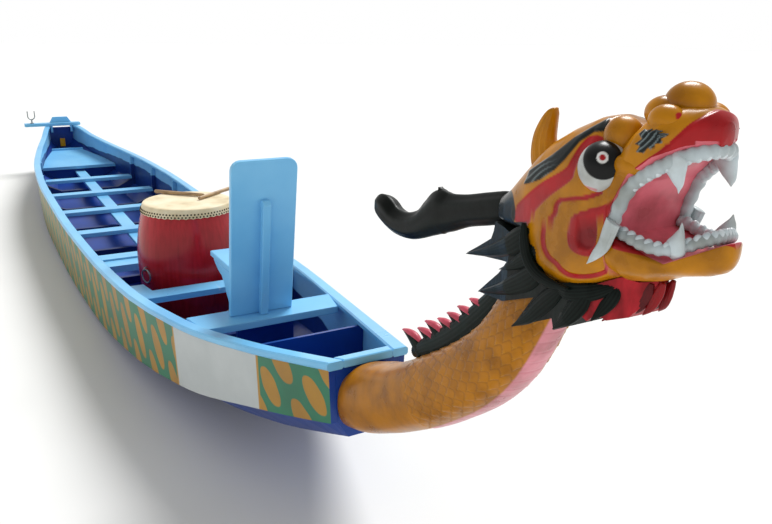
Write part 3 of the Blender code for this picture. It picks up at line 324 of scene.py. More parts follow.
# Cloudy noise in the boat's own metres: scale is in clouds per metre, and a small stretch draws them out
def objectNoise(tree, scale, detail=3.0, stretch=(1, 1, 1)):
    place = addNode(tree, "TexCoord").outputs["Object"]
    drawn = addNode(tree, "Mapping", Vector=place, Scale=stretch)
    return addNode(tree, "TexNoise", Vector=drawn, Scale=scale, Detail=detail)


# Relief on a surface: each layer is a height, its depth in metres and its strength, laid over the last
def relief(tree, shader, *layers):
    under = None
    for height, depth, strength in layers:
        layer = addNode(tree, "Bump", Height=height, Distance=depth, Strength=strength)
        if under:
            fill(tree, layer, Normal=under)
        under = layer
    fill(tree, shader, Normal=under)


paintLook = {
    "brushPerMetre": 260,  # bristle marks 4 mm apart, drawn as coarse as they need to show
    "brushDepth": 0.00012,
    "patchPerMetre": 3.0,  # cloudy differences in the coat, a third of a metre across
    "rubPerMetre": 22,
    "alongBoat": (0.06, 1, 1),
    "roughness": (0.22, 0.40),
}


# Oil gloss paint brushed on planed softwood. The brush leaves faint marks along the wood and the coat
# pools unevenly, so the eye gets soft highlights, cloudy colour and a few rubbed, paler spots.
def glossPaint(name, light, deep, worn="D9E6EA", shine=0.3):
    look = paintLook
    material, tree, shader = newMaterial(name)
    cloud = objectNoise(tree, look["patchPerMetre"], 4)
    coat = addNode(tree, "ValToRGB", cloud, stops=((0.32, deep), (0.62, light)))
    rub = objectNoise(tree, look["rubPerMetre"], 6, look["alongBoat"])
    spots = addNode(tree, "MapRange", Value=rub, From_Min=0.70, From_Max=0.80, To_Max=0.35)
    colour = addNode(tree, "Mix", data_type="RGBA", Factor_Float=spots, A_Color=coat, B_Color=rgba(worn))
    low, high = look["roughness"]
    gloss = addNode(tree, "MapRange", Value=cloud, To_Min=low, To_Max=high)
    fill(tree, shader, Base_Color=colour.outputs[2], Roughness=gloss, Specular_IOR_Level=shine,
         Coat_Weight=shine / 4, Coat_Roughness=0.12)
    marks = objectNoise(tree, look["brushPerMetre"], 2, look["alongBoat"])
    relief(tree, shader, (marks, look["brushDepth"], 0.5), (cloud, 0.004, 0.35))
    return material


# Enamel brushed on carved wood, in the colours stored on the carving. Small dents and brush marks break
# the highlights, and the colour is a little uneven.
def carvedPaint(name, roughness=0.27, dent=0.0016, shine=0.18, coat=0.06):
    material, tree, shader = newMaterial(name)
    stored = addNode(tree, "Attribute", attribute_name="paint")
    cloud = objectNoise(tree, 14, 4)
    shade = addNode(tree, "ValToRGB", cloud, stops=((0.30, "C9C4BC"), (0.62, "FFFFFF")))
    colour = addNode(tree, "Mix", data_type="RGBA", blend_type="MULTIPLY", Factor_Float=1.0,
                     A_Color=stored, B_Color=shade)
    gloss = addNode(tree, "MapRange", Value=cloud, To_Min=roughness - 0.08, To_Max=roughness + 0.14)
    fill(tree, shader, Base_Color=colour.outputs[2], Roughness=gloss, Specular_IOR_Level=shine,
         Coat_Weight=coat, Coat_Roughness=0.1)
    relief(tree, shader, (objectNoise(tree, 38, 3), dent, 0.45), (objectNoise(tree, 300, 2), 0.0001, 0.4))
    return material


# White enamel brushed on the small carved teeth. The coat is thick and even, so the eye gets a bluish
# white, glossy, with soft dents.
def whiteEnamel():
    material, tree, shader = newMaterial("white enamel")
    cloud = objectNoise(tree, 60, 3)
    colour = addNode(tree, "ValToRGB", cloud, stops=((0.3, "B9C6CB"), (0.7, "D5DFE2")))
    fill(tree, shader, Base_Color=colour, Roughness=0.3, Coat_Weight=0.3)
    relief(tree, shader, (cloud, 0.0008, 0.5))
    return material


# The crutch, rings and staples, forged from steel rod and dipped in zinc: grey, mottled and half shiny
def zincSteel():
    material, tree, shader = newMaterial("galvanised steel")
    spangle = objectNoise(tree, 180, 3)
    colour = addNode(tree, "ValToRGB", spangle, stops=((0.35, "6E7577"), (0.65, "A9B0B2")))
    gloss = addNode(tree, "MapRange", Value=spangle, To_Min=0.28, To_Max=0.5)
    fill(tree, shader, Base_Color=colour, Metallic=1.0, Roughness=gloss)
    return material


# Lacquer over a barrel of upright staves: deep red, glossy, with the grain of the staves just showing
def drumLacquer(centre):
    material, tree, shader = newMaterial("red lacquer")
    place = addNode(tree, "TexCoord").outputs["Object"]
    local = addNode(tree, "Mapping", Vector=place, Location=(-centre[0], -centre[1], 0))
    grain = addNode(tree, "Mapping", Vector=local, Scale=(60, 60, 2.5))
    streak = addNode(tree, "TexNoise", Vector=grain, Scale=1.0, Detail=4.0)
    cloud = objectNoise(tree, 5, 3)
    red = addNode(tree, "ValToRGB", cloud, stops=((0.3, "A3181F"), (0.7, "BE242C")))
    dark = addNode(tree, "ValToRGB", streak, stops=((0.3, "E2D8D6"), (0.6, "FFFFFF")))
    colour = addNode(tree, "Mix", data_type="RGBA", blend_type="MULTIPLY", Factor_Float=1.0,
                     A_Color=red, B_Color=dark)
    fill(tree, shader, Base_Color=colour.outputs[2], Roughness=0.24, Specular_IOR_Level=0.25,
         Coat_Weight=0.12, Coat_Roughness=0.08)
    relief(tree, shader, (cloud, 0.003, 0.3))
    return material


# Buffalo hide, scraped, stretched wet over the barrel and dried in the sun: cream, matt and cloudy, with
# fine pores
def rawHide():
    material, tree, shader = newMaterial("raw hide")
    colour = addNode(tree, "ValToRGB", objectNoise(tree, 9, 6),
                     stops=((0.3, "CDB98F"), (0.5, "E6D6B0"), (0.7, "F0E4C6")))
    fill(tree, shader, Base_Color=colour, Roughness=0.62, Sheen_Weight=0.15)
    relief(tree, shader, (objectNoise(tree, 140, 5), 0.0004, 0.6))
    return material


# Turned hardwood sticks, sanded and never varnished: pale brown with grain along the stick
def turnedWood():
    material, tree, shader = newMaterial("bare turned wood")
    grain = objectNoise(tree, 60, 5, (0.25, 0.25, 1))
    colour = addNode(tree, "ValToRGB", grain, stops=((0.35, "8C7154"), (0.55, "B0926C"), (0.75, "C4A881")))
    fill(tree, shader, Base_Color=colour, Roughness=0.55)
    relief(tree, shader, (grain, 0.0003, 0.5))
    return material


# Domed iron nails that hold the hide to the barrel, forged and blackened in oil: dark, a little brown
# where they are worn, with small soft highlights
def nailIron():
    material, tree, shader = newMaterial("blackened iron")
    colour = addNode(tree, "ValToRGB", objectNoise(tree, 220, 3), stops=((0.35, "2B2620"), (0.7, "6A5C40")))
    fill(tree, shader, Base_Color=colour, Metallic=1.0, Roughness=0.42)
    return material


# The painted side: oil paint brushed by hand on the planed plank, in flat colours with a soft, uneven
# shine. Ovals of ochre stand in staggered columns on green, a bare white panel breaks them near the bow,
# and the stern is pale. In the pattern u runs aft in metres and v up from the chine in shares of the plank.
sideLook = {
    "green": "2C7A5A", "greenDeep": "256B4E", "ochre": "B2842A", "ochreDeep": "9A7024",
    "panel": "C0C6C6", "panelDeep": "B4BBBB", "edge": "B2842A", "olive": "8D8F45",
    "cream": "C9C9A2", "creamDeep": "BDBE98",
    "columnM": 0.113,  # from one column of ovals to the next
    "firstM": -0.034,  # where the first column starts, aft of the bow transom
    "ovalsHigh": 1.05,  # how many ovals stand in the plank's height
    "ovalHalf": (0.37, 0.37),  # half an oval in shares of its pitch along and up
    "ovalPower": (2.3, 2.0),  # two is a true ellipse, and more is squarer
    "panelM": (0.375, 0.995),  # the bare panel, aft of the bow transom
    "panelEdgeM": 0.012,
    "oliveM": (6.75, 7.15),
    "sternM": 99.0,  # past the end of the plank
    "lean": -0.10,  # how far the ovals lean aft for each share of height
}


# A point's place in its oval is its place in the staggered grid, less the half and over the oval's half
# size. It is inside where the powers of both add up to less than one.
def paintedSide():
    look = sideLook
    material, tree, shader = newMaterial("painted side plank")
    uv = addNode(tree, "UVMap", uv_map="surface")
    along, up, _ = addNode(tree, "SeparateXYZ", uv).outputs
    wobble = addNode(tree, "MapRange", Value=objectNoise(tree, 7, 2), To_Min=-0.015, To_Max=0.015)
    leaning = addNode(tree, "Math", up, look["lean"], along, operation="MULTIPLY_ADD")
    leaning = addNode(tree, "Math", leaning, wobble, operation="ADD")
    shift = addNode(tree, "Math", leaning, look["firstM"], operation="SUBTRACT")
    column = addNode(tree, "Math", shift, look["columnM"], operation="DIVIDE")
    index = addNode(tree, "Math", column, operation="FLOOR")
    odd = addNode(tree, "Math", index, 2.0, operation="MODULO")
    stagger = addNode(tree, "Math", odd, 0.5, 10.0, operation="MULTIPLY_ADD")
    row = addNode(tree, "Math", up, look["ovalsHigh"], stagger, operation="MULTIPLY_ADD")
    powers = []
    for place, half, power in zip((column, row), look["ovalHalf"], look["ovalPower"]):
        share = addNode(tree, "Math", place, operation="FRACT")
        share = addNode(tree, "Math", share, 0.5, operation="SUBTRACT")
        share = addNode(tree, "Math", share, half, operation="DIVIDE")
        share = addNode(tree, "Math", share, operation="ABSOLUTE")
        powers.append(addNode(tree, "Math", share, power, operation="POWER"))
    reach = addNode(tree, "Math", *powers, operation="ADD")
    reach = addNode(tree, "Math", reach, operation="SQRT")
    oval = addNode(tree, "MapRange", Value=reach, From_Min=0.96, From_Max=1.02, To_Min=1.0, To_Max=0.0)

    def between(low, high, soft=0.002):  # one between two places along the plank, and none outside
        rise = addNode(tree, "MapRange", Value=along, From_Min=low - soft, From_Max=low + soft)
        return addNode(tree, "MapRange", Value=along, From_Min=high - soft, From_Max=high + soft,
                       To_Min=rise, To_Max=0.0)

    cloud = objectNoise(tree, 6, 4)
    colour, ochre, panel = [
        addNode(tree, "ValToRGB", cloud, stops=((0.3, look[f"{name}Deep"]), (0.7, look[name])))
        for name in ("green", "ochre", "panel")]
    cream = addNode(tree, "ValToRGB", objectNoise(tree, 5, 4),
                    stops=((0.35, look["creamDeep"]), (0.65, look["cream"])))
    low, high = look["panelM"]
    edge = look["panelEdgeM"]
    for share, over in (
        (oval, ochre), (between(low - edge, high + edge), rgba(look["edge"])), (between(low, high), panel),
        (between(look["oliveM"][1], look["sternM"]), cream), (between(*look["oliveM"]), rgba(look["olive"])),
    ):
        colour = addNode(tree, "Mix", data_type="RGBA", Factor_Float=share, A_Color=colour, B_Color=over)
        colour = colour.outputs[2]
    gloss = addNode(tree, "MapRange", Value=cloud, To_Min=0.3, To_Max=0.5)
    fill(tree, shader, Base_Color=colour, Roughness=gloss, Specular_IOR_Level=0.35)
    relief(tree, shader, (objectNoise(tree, 60, 3, (0.15, 1, 1)), 0.0006, 0.5))
    return material


# Oil paint brushed on the inside of the planking: navy below, and pale blue above a line cut in by hand.
# The eye gets a soft shine, faint brush marks along the wood and a line that wanders a little.
insideLook = {"navy": "123A86", "navyDeep": "0D2C6C", "wanderM": 0.03, "edgeM": 0.004}


# Pale where the height, with a slow noise added, is over the line, and navy below
def insidePaint(name, lineM, pale, paleDeep):
    look = insideLook
    material, tree, shader = newMaterial(name)
    place = addNode(tree, "TexCoord").outputs["Object"]
    height = addNode(tree, "SeparateXYZ", place).outputs["Z"]
    wander = addNode(tree, "MapRange", Value=objectNoise(tree, 3, 3), To_Min=-look["wanderM"],
                     To_Max=look["wanderM"])
    height = addNode(tree, "Math", height, wander, operation="ADD")
    above = addNode(tree, "MapRange", Value=height, From_Min=lineM - look["edgeM"],
                    From_Max=lineM + look["edgeM"])
    cloud = objectNoise(tree, 4, 4)
    upper = addNode(tree, "ValToRGB", cloud, stops=((0.3, paleDeep), (0.7, pale)))
    lower = addNode(tree, "ValToRGB", cloud, stops=((0.3, look["navyDeep"]), (0.7, look["navy"])))
    colour = addNode(tree, "Mix", data_type="RGBA", Factor_Float=above, A_Color=lower, B_Color=upper)
    fill(tree, shader, Base_Color=colour.outputs[2], Roughness=0.36)
    relief(tree, shader, (objectNoise(tree, 70, 3, (0.1, 1, 1)), 0.0005, 0.5))
    return material


# Enamel brushed on the mane's carved core, black aft and red under the jaw. The gouge left grooves that
# break the shine, so the eye gets a dull, streaked surface.
def maneEnamel():
    material, tree, shader = newMaterial("black and red enamel on the mane")
    place = addNode(tree, "TexCoord").outputs["Object"]
    forward = addNode(tree, "SeparateXYZ", place).outputs["X"]
    share = addNode(tree, "MapRange", Value=forward, From_Min=bowX + 0.957, From_Max=bowX + 0.961)
    grooves = objectNoise(tree, 40, 3, (1, 1, 0.4))
    black = addNode(tree, "ValToRGB", grooves, stops=((0.35, "070B09"), (0.65, "121A17")))
    red = addNode(tree, "ValToRGB", grooves, stops=((0.35, "7E151C"), (0.65, "B3242E")))
    colour = addNode(tree, "Mix", data_type="RGBA", Factor_Float=share, A_Color=black, B_Color=red)
    fill(tree, shader, Base_Color=colour.outputs[2], Roughness=0.35, Specular_IOR_Level=0.15)
    relief(tree, shader, (grooves, 0.003, 0.6))
    return material


paleBlue = glossPaint("pale blue gloss paint", "7FC6EF", "6DB8E8")
navyBlue = glossPaint("navy gloss paint", "123F94", "0E3079", worn="3A62A8", shine=0.25)
yellowPaint = glossPaint("yellow gloss paint", "E8A80F", "D2930B")
carved = carvedPaint("enamel on carved wood")
blackEnamel = carvedPaint("black enamel on carved wood", 0.34, 0.0012, 0.1, 0.0)
toothEnamel = carvedPaint("white enamel on carved teeth", 0.3, 0.0012)
plainTooth = whiteEnamel()
hide = rawHide()
stickWood = turnedWood()
nails = nailIron()
sidePaint = paintedSide()
insidePlank = insidePaint("inside plank paint", 0.32, "8CCBEF", "79BCE6")
print("materials made")

ribs = [name for name in nodes if name.startswith("frame_")]

# The nodes whose own shape shows, by what they are painted with
carriedNodes = (
    (paleBlue, (
        "gunwale_starboard", "gunwale_port", "bow_rail", "thwart_1", "thwart_2", "thwart_3", "thwart_4",
        "thwart_5", "centre_plank", "footrest_board", "seat_board", "backrest", "backrest_rib",
        "drummer_seat", "seat_cheek_starboard", "seat_cheek_port", "aft_deck", "stern_beam",
        "beam_knee_starboard", "beam_knee_port", "stern_board",
    )),
    (navyBlue, (
        "hull_bottom", "bow_transom", "stern_transom", "bow_bulkhead", "deck_bulkhead", "drum_timber_1",
        "drum_timber_2", "seat_post",
    )),
    (zincSteel(), (
        "oar_crutch", "drum_ring_starboard", "drum_ring_port", "drum_staple_starboard", "drum_staple_port",
    )),
    (yellowPaint, ("tail_block",)),
    (insidePaint("rib paint", 0.33, "7FC0E6", "6FB2DB"), ribs),
    (maneEnamel(), ("mane",)),
)
for material, names in carriedNodes:
    for name in names:
        nodes[name].data.materials.clear()
        nodes[name].data.materials.append(material)
print("carried nodes painted")


# The side planks
sidePlank = {"stepsAlong": 260, "outerSteps": 10, "innerSteps": 6}


# The plank's own four long edges, read from its node: outer and inner, upper and lower, at each section
def plankEdges(node):
    spots = np.array([tuple(v.co) for v in nodes[node].data.vertices])
    spots = np.unique(np.round(spots, 5), axis=0)
    places, group = np.unique(np.round(spots[:, 0], 4), return_inverse=True)
    edges = []
    for index in range(len(places)):
        ring = spots[group.ravel() == index]
        order = np.argsort(ring[:, 2])
        low, high = ring[order[:2]], ring[order[-2:]]
        low = low[np.argsort(np.abs(low[:, 1]))]
        high = high[np.argsort(np.abs(high[:, 1]))]
        edges.append((high[1], low[1], low[0], high[0]))
    return np.array(edges)[::-1]


# Outer face, lower edge, inner face and upper edge at even steps, straight between the four edges
def makeSidePlank(side):
    node = f"side_plank_{side}"
    edges = plankEdges(node)
    aft = bowX - edges[:, 0, 0]
    even = np.linspace(aft[0], aft[-1], sidePlank["stepsAlong"])
    dense = np.stack([
        [np.interp(even, aft, edges[:, edge, axis]) for axis in range(3)] for edge in range(4)])
    outerTop, outerLow, innerLow, innerTop = np.swapaxes(dense, 1, 2)
    down = np.linspace(0, 1, sidePlank["outerSteps"] + 1)[None, :, None]
    up = np.linspace(0, 1, sidePlank["innerSteps"] + 1)[None, :, None]
    outer = outerTop[:, None] * (1 - down) + outerLow[:, None] * down
    inner = innerLow[:, None] * (1 - up) + innerTop[:, None] * up
    points = np.concatenate([outer, inner], 1)
    share = np.concatenate([1 - down[0, :, 0], up[0, :, 0]])
    uv = np.stack(np.broadcast_arrays(even[:, None], share[None, :]), -1)
    piece = gridPiece(f"painted_side_{side}", points, sidePaint, node, sharp=40, uv=uv)
    mesh = piece.data
    mesh.materials.append(insidePlank)
    mesh.materials.append(navyBlue)
    centres, normals = np.zeros((2, len(mesh.polygons), 3))
    mesh.polygons.foreach_get("center", centres.ravel())
    mesh.polygons.foreach_get("normal", normals.ravel())
    outward = normals[:, 1] * np.sign(centres[:, 1])
    kind = np.where(np.abs(normals[:, 0]) > 0.8, 2, np.where(outward < 0.3, 1, 0))
    mesh.polygons.foreach_set("material_index", kind.astype(np.int32))


for _, side in bothSides:
    makeSidePlank(side)
print("side planks made")


# The drum

drum = {
    "bottom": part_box("drum_hide_bottom")[0].z, "top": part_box("drum_hide_top")[1].z,
    "centre": ((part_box("drum_hide_top")[0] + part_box("drum_hide_top")[1]) / 2)[:2],
    "endRadius": 0.231, "middleRadius": 0.284, "hide": 0.005, "collar": 0.047, "crownDrop": 0.0015,
    "sides": 128, "nailRadius": 0.0048, "nails": 84, "nailRows": (0.040, 0.027),
    "scallop": 0.0025, "scallops": 42,
    "axis": 0.001,  # the least radius of a turned skin
    "hideGap": 0.0004, "rim": 0.004,
}


# The barrel's outer radius at this height: a parabola from the ends to the middle
def barrelAt(up):
    share = (2 * up - drum["top"] - drum["bottom"]) / (drum["top"] - drum["bottom"])
    return drum["endRadius"] + (drum["middleRadius"] - drum["endRadius"]) * (1 - share ** 2)


# Profiles of barrel and hides turned about the drum's middle. A cosine scallops the edge of each hide,
# and two rows of nails stand round it.
def makeDrum():
    place = (*drum["centre"], 0)
    low, high, thick = drum["bottom"], drum["top"], drum["hide"]
    levels = np.linspace(low + thick, high - thick, 60)
    profile = [(drum["axis"], levels[0]), *zip(barrelAt(levels), levels), (drum["axis"], levels[-1])]
    barrel = turnedGrid(profile, place, drum["sides"])
    gridPiece("lacquered_barrel", barrel, drumLacquer(place), "drum_body", sharp=40)
    for name, end, inward in (("drum_hide_top", high, -1), ("drum_hide_bottom", low, 1)):
        edge = np.linspace(end, end + inward * drum["collar"], 12)
        fold = np.minimum(1, 0.3 + 8 * np.abs(edge - end) / drum["collar"])
        outside = [*zip(barrelAt(edge) + thick * fold, edge)]
        inside = [*zip(barrelAt(edge[::-1]) + drum["hideGap"], edge[::-1])]
        across = np.linspace(drum["axis"], drum["endRadius"] - drum["rim"], 24)
        crown = [*zip(across, end - inward * drum["crownDrop"] * (across / drum["endRadius"]) ** 6)]
        heart = (drum["axis"], end + inward * thick)
        grid = turnedGrid([*crown, *outside, *inside, heart], place, drum["sides"])
        angle = np.linspace(0, 2 * math.pi, drum["sides"], endpoint=False)
        rim = len(crown) + len(outside)
        grid[rim - 2:rim + 2, :, 2] += inward * drum["scallop"] * np.cos(angle * drum["scallops"])
        gridPiece(f"{name}_skin", grid, hide, name, sharp=50)
        heads = []
        for index, drop in enumerate(drum["nailRows"]):
            up = end + inward * drop
            radius = barrelAt(up) + thick
            for turn in (np.arange(drum["nails"]) + 0.5 * index) * 2 * math.pi / drum["nails"]:
                centre = (place[0] + radius * math.cos(turn), place[1] + radius * math.sin(turn), up)
                heads.append(ballGrid(centre, (drum["nailRadius"],) * 3, 6, 10))
        scattered(f"{name}_nails", heads, nails)


makeDrum()


# Each stick: a round rod, thickest at the butt and rounded over at both ends
sticks = {"radius": 0.011, "tip": 0.0088, "steps": 48, "sides": 24, "least": 0.01}


# Near an end the radius falls as a quarter circle does
def makeStick(side):
    node = f"drumstick_{side}"
    spots = np.array([tuple(v.co) for v in nodes[node].data.vertices])
    centre = spots.mean(0)
    axis = np.linalg.svd(spots - centre, full_matrices=False)[2][0]
    reach = (spots - centre) @ axis
    start, end = centre + axis * reach.min(), centre + axis * reach.max()
    share = np.linspace(0, 1, sticks["steps"])
    path = start + (end - start) * share[:, None]
    length = np.linalg.norm(end - start)
    fromEnd = np.minimum(share, 1 - share) * length
    rounding = np.sqrt(np.clip(1 - (1 - np.minimum(fromEnd / sticks["radius"], 1)) ** 2, sticks["least"], 1))
    radius = (sticks["radius"] + (sticks["tip"] - sticks["radius"]) * share) * rounding
    grid = alongPath(path, radius, radius, sticks["sides"])
    gridPiece(f"turned_{node}", grid, stickWood, node)


for _, side in bothSides:
    makeStick(side)
print("drum made")


# The dragon's neck: rings of distance forward, height, half width and half height, in metres
neck = {
    "stations": (
        (0.000, 0.551, 0.108, 0.111), (0.075, 0.582, 0.107, 0.110), (0.148, 0.616, 0.104, 0.107),
        (0.240, 0.660, 0.098, 0.101), (0.387, 0.748, 0.095, 0.098), (0.476, 0.808, 0.092, 0.095),
        (0.576, 0.883, 0.089, 0.091), (0.653, 0.957, 0.083, 0.085), (0.706, 1.028, 0.078, 0.079),
        (0.757, 1.117, 0.073, 0.073), (0.794, 1.190, 0.068, 0.068), (0.824, 1.264, 0.062, 0.062),
    ),
    "square": 0.06, "steps": 420, "sides": 200, "seamAt": 0.375, "edge": 0.0022,
    "scaleLong": 0.027, "scaleDeep": 0.0024, "scalesRound": 20, "scaleCurve": 0.62, "scaleLap": 1.6,
    "foldLong": 0.03, "foldDeep": 0.0012, "seamLong": 0.004, "upright": 0.07,
    # The groove colour is painted shade in the low part of each scale, and the crest colour is a painted
    # highlight on its raised free edge
    "mustard": "B27206", "grooveShade": "845406", "crest": "C98E1A", "belly": "D98C97",
    "grooveShadeShare": 0.6, "grooveTo": 0.22, "crestHighlightShare": 0.35, "crestFrom": 0.6,
    "bellyHalfTurn": 0.44, "bellySoft": 0.03,
}


# Overlapping scales: along the neck each row's height climbs to a rounded free edge and drops to the next
def scaleHeight(alongScales, roundScales):
    curve = neck["scaleCurve"]
    row = np.floor(alongScales)
    here = alongScales - row
    odd = np.mod(row, 2)
    edgeHere = curve * np.abs(np.sin(math.pi * (roundScales + 0.5 * odd)))
    edgeBefore = curve * np.abs(np.sin(math.pi * (roundScales + 0.5 * (1 - odd))))
    climb = np.where(here >= curve - edgeHere, here - (curve - edgeHere), here + 1 - (curve - edgeBefore))
    return np.mod(climb, neck["scaleLap"]) / neck["scaleLap"]


# The neck: rings along its curve, each point moved outwards by the height of its scale. Under the throat
# the scales give way to a smooth belly with folds across it.
def makeNeck():
    rows = smoothRows(neck["stations"], neck["steps"])
    path = np.stack([bowX + seat + rows[:, 0], 0 * rows[:, 0], rows[:, 1]], 1)
    run = np.concatenate([[0], np.cumsum(np.linalg.norm(np.diff(path, axis=0), axis=1))])[:, None]
    plain = alongPath(path, rows[:, 2], rows[:, 3], neck["sides"], neck["square"], neck["upright"])
    turn = np.linspace(0, 1, neck["sides"], endpoint=False)[None, :]
    seam = run[np.searchsorted(rows[:, 0], neck["seamAt"]), 0]
    climb = scaleHeight(-(run - seam) / neck["scaleLong"], neck["scalesRound"] * turn)
    scaled = smoothStep(seam, seam + neck["seamLong"], run)
    fromBottom = np.abs(np.mod(turn - 0.75 + 0.5, 1) - 0.5) * 2 * math.pi
    half, soft = neck["bellyHalfTurn"], neck["bellySoft"]
    belly = scaled * (1 - smoothStep(half - soft, half + soft, fromBottom))
    rise = scaled * (neck["scaleDeep"] * (climb - 0.75) * (1 - belly) + neck["edge"])
    rise = rise - belly * neck["foldDeep"] * (np.mod(run / neck["foldLong"], 1) > 0.9)
    out = plain - path[:, None]
    out /= np.linalg.norm(out, axis=2)[..., None]
    points = plain + out * (rise - neck["edge"])[..., None]
    paint = np.broadcast_to(linearRgb(neck["mustard"]), points.shape)
    # Painted shade darkens the low part of each scale, and a painted highlight lightens its raised free
    # edge; the belly's pink is paint
    for key, share in (
        ("grooveShade", neck["grooveShadeShare"] * scaled * (1 - smoothStep(0.0, neck["grooveTo"], climb))),
        ("crest", neck["crestHighlightShare"] * scaled * smoothStep(neck["crestFrom"], 1.0, climb)),
        ("belly", belly),
    ):
        paint = paint * (1 - share[..., None]) + linearRgb(neck[key]) * share[..., None]
    gridPiece("scaled_neck", points, carved, "dragon_neck", paint=paint.reshape(-1, 3))


makeNeck()
print("neck made")


# The horn, in the same columns
horn = {
    "stations": (
        (0.670, 1.316, 0.026, 0.028), (0.640, 1.302, 0.030, 0.036), (0.575, 1.284, 0.030, 0.038),
        (0.500, 1.264, 0.030, 0.039), (0.435, 1.246, 0.031, 0.047), (0.388, 1.237, 0.033, 0.056),
        (0.350, 1.216, 0.033, 0.049), (0.305, 1.189, 0.032, 0.039), (0.255, 1.171, 0.031, 0.037),
        (0.205, 1.164, 0.031, 0.036), (0.160, 1.168, 0.031, 0.038), (0.118, 1.183, 0.031, 0.042),
        (0.082, 1.192, 0.026, 0.034), (0.058, 1.194, 0.013, 0.018), (0.050, 1.194, 0.003, 0.004),
    ),
    "steps": 240, "sides": 72, "ridge": 0.0012, "ridges": 7, "ridgeFrom": 0.012, "ridgeOver": 0.03,
    # The light colour is a painted highlight on the ridge tops, and the grooves between them stay darker
    "colour": "0B0F0D", "light": "141C18", "ridgeHighlightShare": 0.4,
}


# The horn: rings along its curve with shallow ridges, a cosine of the turn that fades where it is thin. Its
# paint is lighter on the ridge tops as a painted highlight.
def makeHorn():
    rows = smoothRows(horn["stations"], horn["steps"])
    path = np.stack([bowX + rows[:, 0], 0 * rows[:, 0], rows[:, 1]], 1)
    turn = np.linspace(0, 2 * math.pi, horn["sides"], endpoint=False)
    plain = alongPath(path, rows[:, 2], rows[:, 3], horn["sides"], start=0.001)
    thin = smoothStep(0, horn["ridgeOver"], rows[:, 3:4] - horn["ridgeFrom"])
    ridge = horn["ridge"] * np.cos(turn * horn["ridges"])[None, :] * thin
    out = plain - path[:, None]
    out /= np.maximum(np.linalg.norm(out, axis=2)[..., None], 1e-6)
    points = plain + out * (ridge - horn["ridge"])[..., None]
    # Painted highlight: the ridge tops are lighter and the grooves between them darker
    share = horn["ridgeHighlightShare"] * (0.5 + 0.5 * np.cos(turn * horn["ridges"]))
    share = share[None, :, None] * np.ones((len(rows), 1, 1))
    paint = linearRgb(horn["colour"]) * (1 - share) + linearRgb(horn["light"]) * share
    gridPiece("carved_horn", points, blackEnamel, "horn", paint=paint.reshape(-1, 3))


makeHorn()


# The head: sections of distance forward, underside, widest height, top and half width, in metres
head = {
    "sections": (
        (0.6655, 1.284, 1.312, 1.343, 0.046), (0.7000, 1.284, 1.318, 1.366, 0.062),
        (0.7450, 1.284, 1.332, 1.412, 0.076), (0.7900, 1.284, 1.350, 1.456, 0.087),
        (0.8100, 1.246, 1.345, 1.474, 0.091), (0.8550, 1.211, 1.340, 1.500, 0.097),
        (0.9100, 1.212, 1.345, 1.524, 0.101), (0.9400, 1.221, 1.355, 1.530, 0.102),
        (0.9740, 1.238, 1.365, 1.522, 0.102), (1.0000, 1.254, 1.375, 1.512, 0.101),
        (1.0150, 1.262, 1.385, 1.520, 0.100), (1.0155, 1.345, 1.400, 1.521, 0.100),
        (1.0210, 1.381, 1.425, 1.526, 0.099), (1.0430, 1.433, 1.465, 1.545, 0.096),
        (1.0690, 1.4576, 1.484, 1.556, 0.091), (1.0810, 1.469, 1.498, 1.559, 0.088),
        (1.0980, 1.4819, 1.506, 1.559, 0.076), (1.1140, 1.494, 1.514, 1.556, 0.060),
        (1.1270, 1.4985, 1.519, 1.550, 0.044), (1.1370, 1.5020, 1.520, 1.542, 0.026),
        (1.1430, 1.5040, 1.519, 1.534, 0.010),
    ),
    "curve": (2.3, 5.0), "steps": 296, "sides": 332, "smoothM": 0.006,
    # The deeper red is painted shade in the sunk pit at the mouth's corner
    "mustard": "C07E06", "red": "B01A20", "shadedRed": "7A1018", "palate": "E87886", "black": "0C100E",
    "brow": "141C1D", "hair": "8FA0A3",
    "lidDeep": 0.0016, "lipProud": 0.003, "pitDeep": 0.004, "lineDeep": 0.0022, "hairProud": 0.0035,
    "strandProud": 0.0012, "strandPx": 4.4, "fadePx": 25, "hairShare": 0.6, "pitShadeShare": 0.7,
    "hairAside": (0.022, 0.034),  # hair starts this far from the middle
    "hairs": {"brow": ((-64, 42), 562), "tuft": ((-14, 15), 690)},  # its way, and the column it fades at
    "mouth": (1.0145, 1.14, 1.51),  # the palate: from, to and below
}

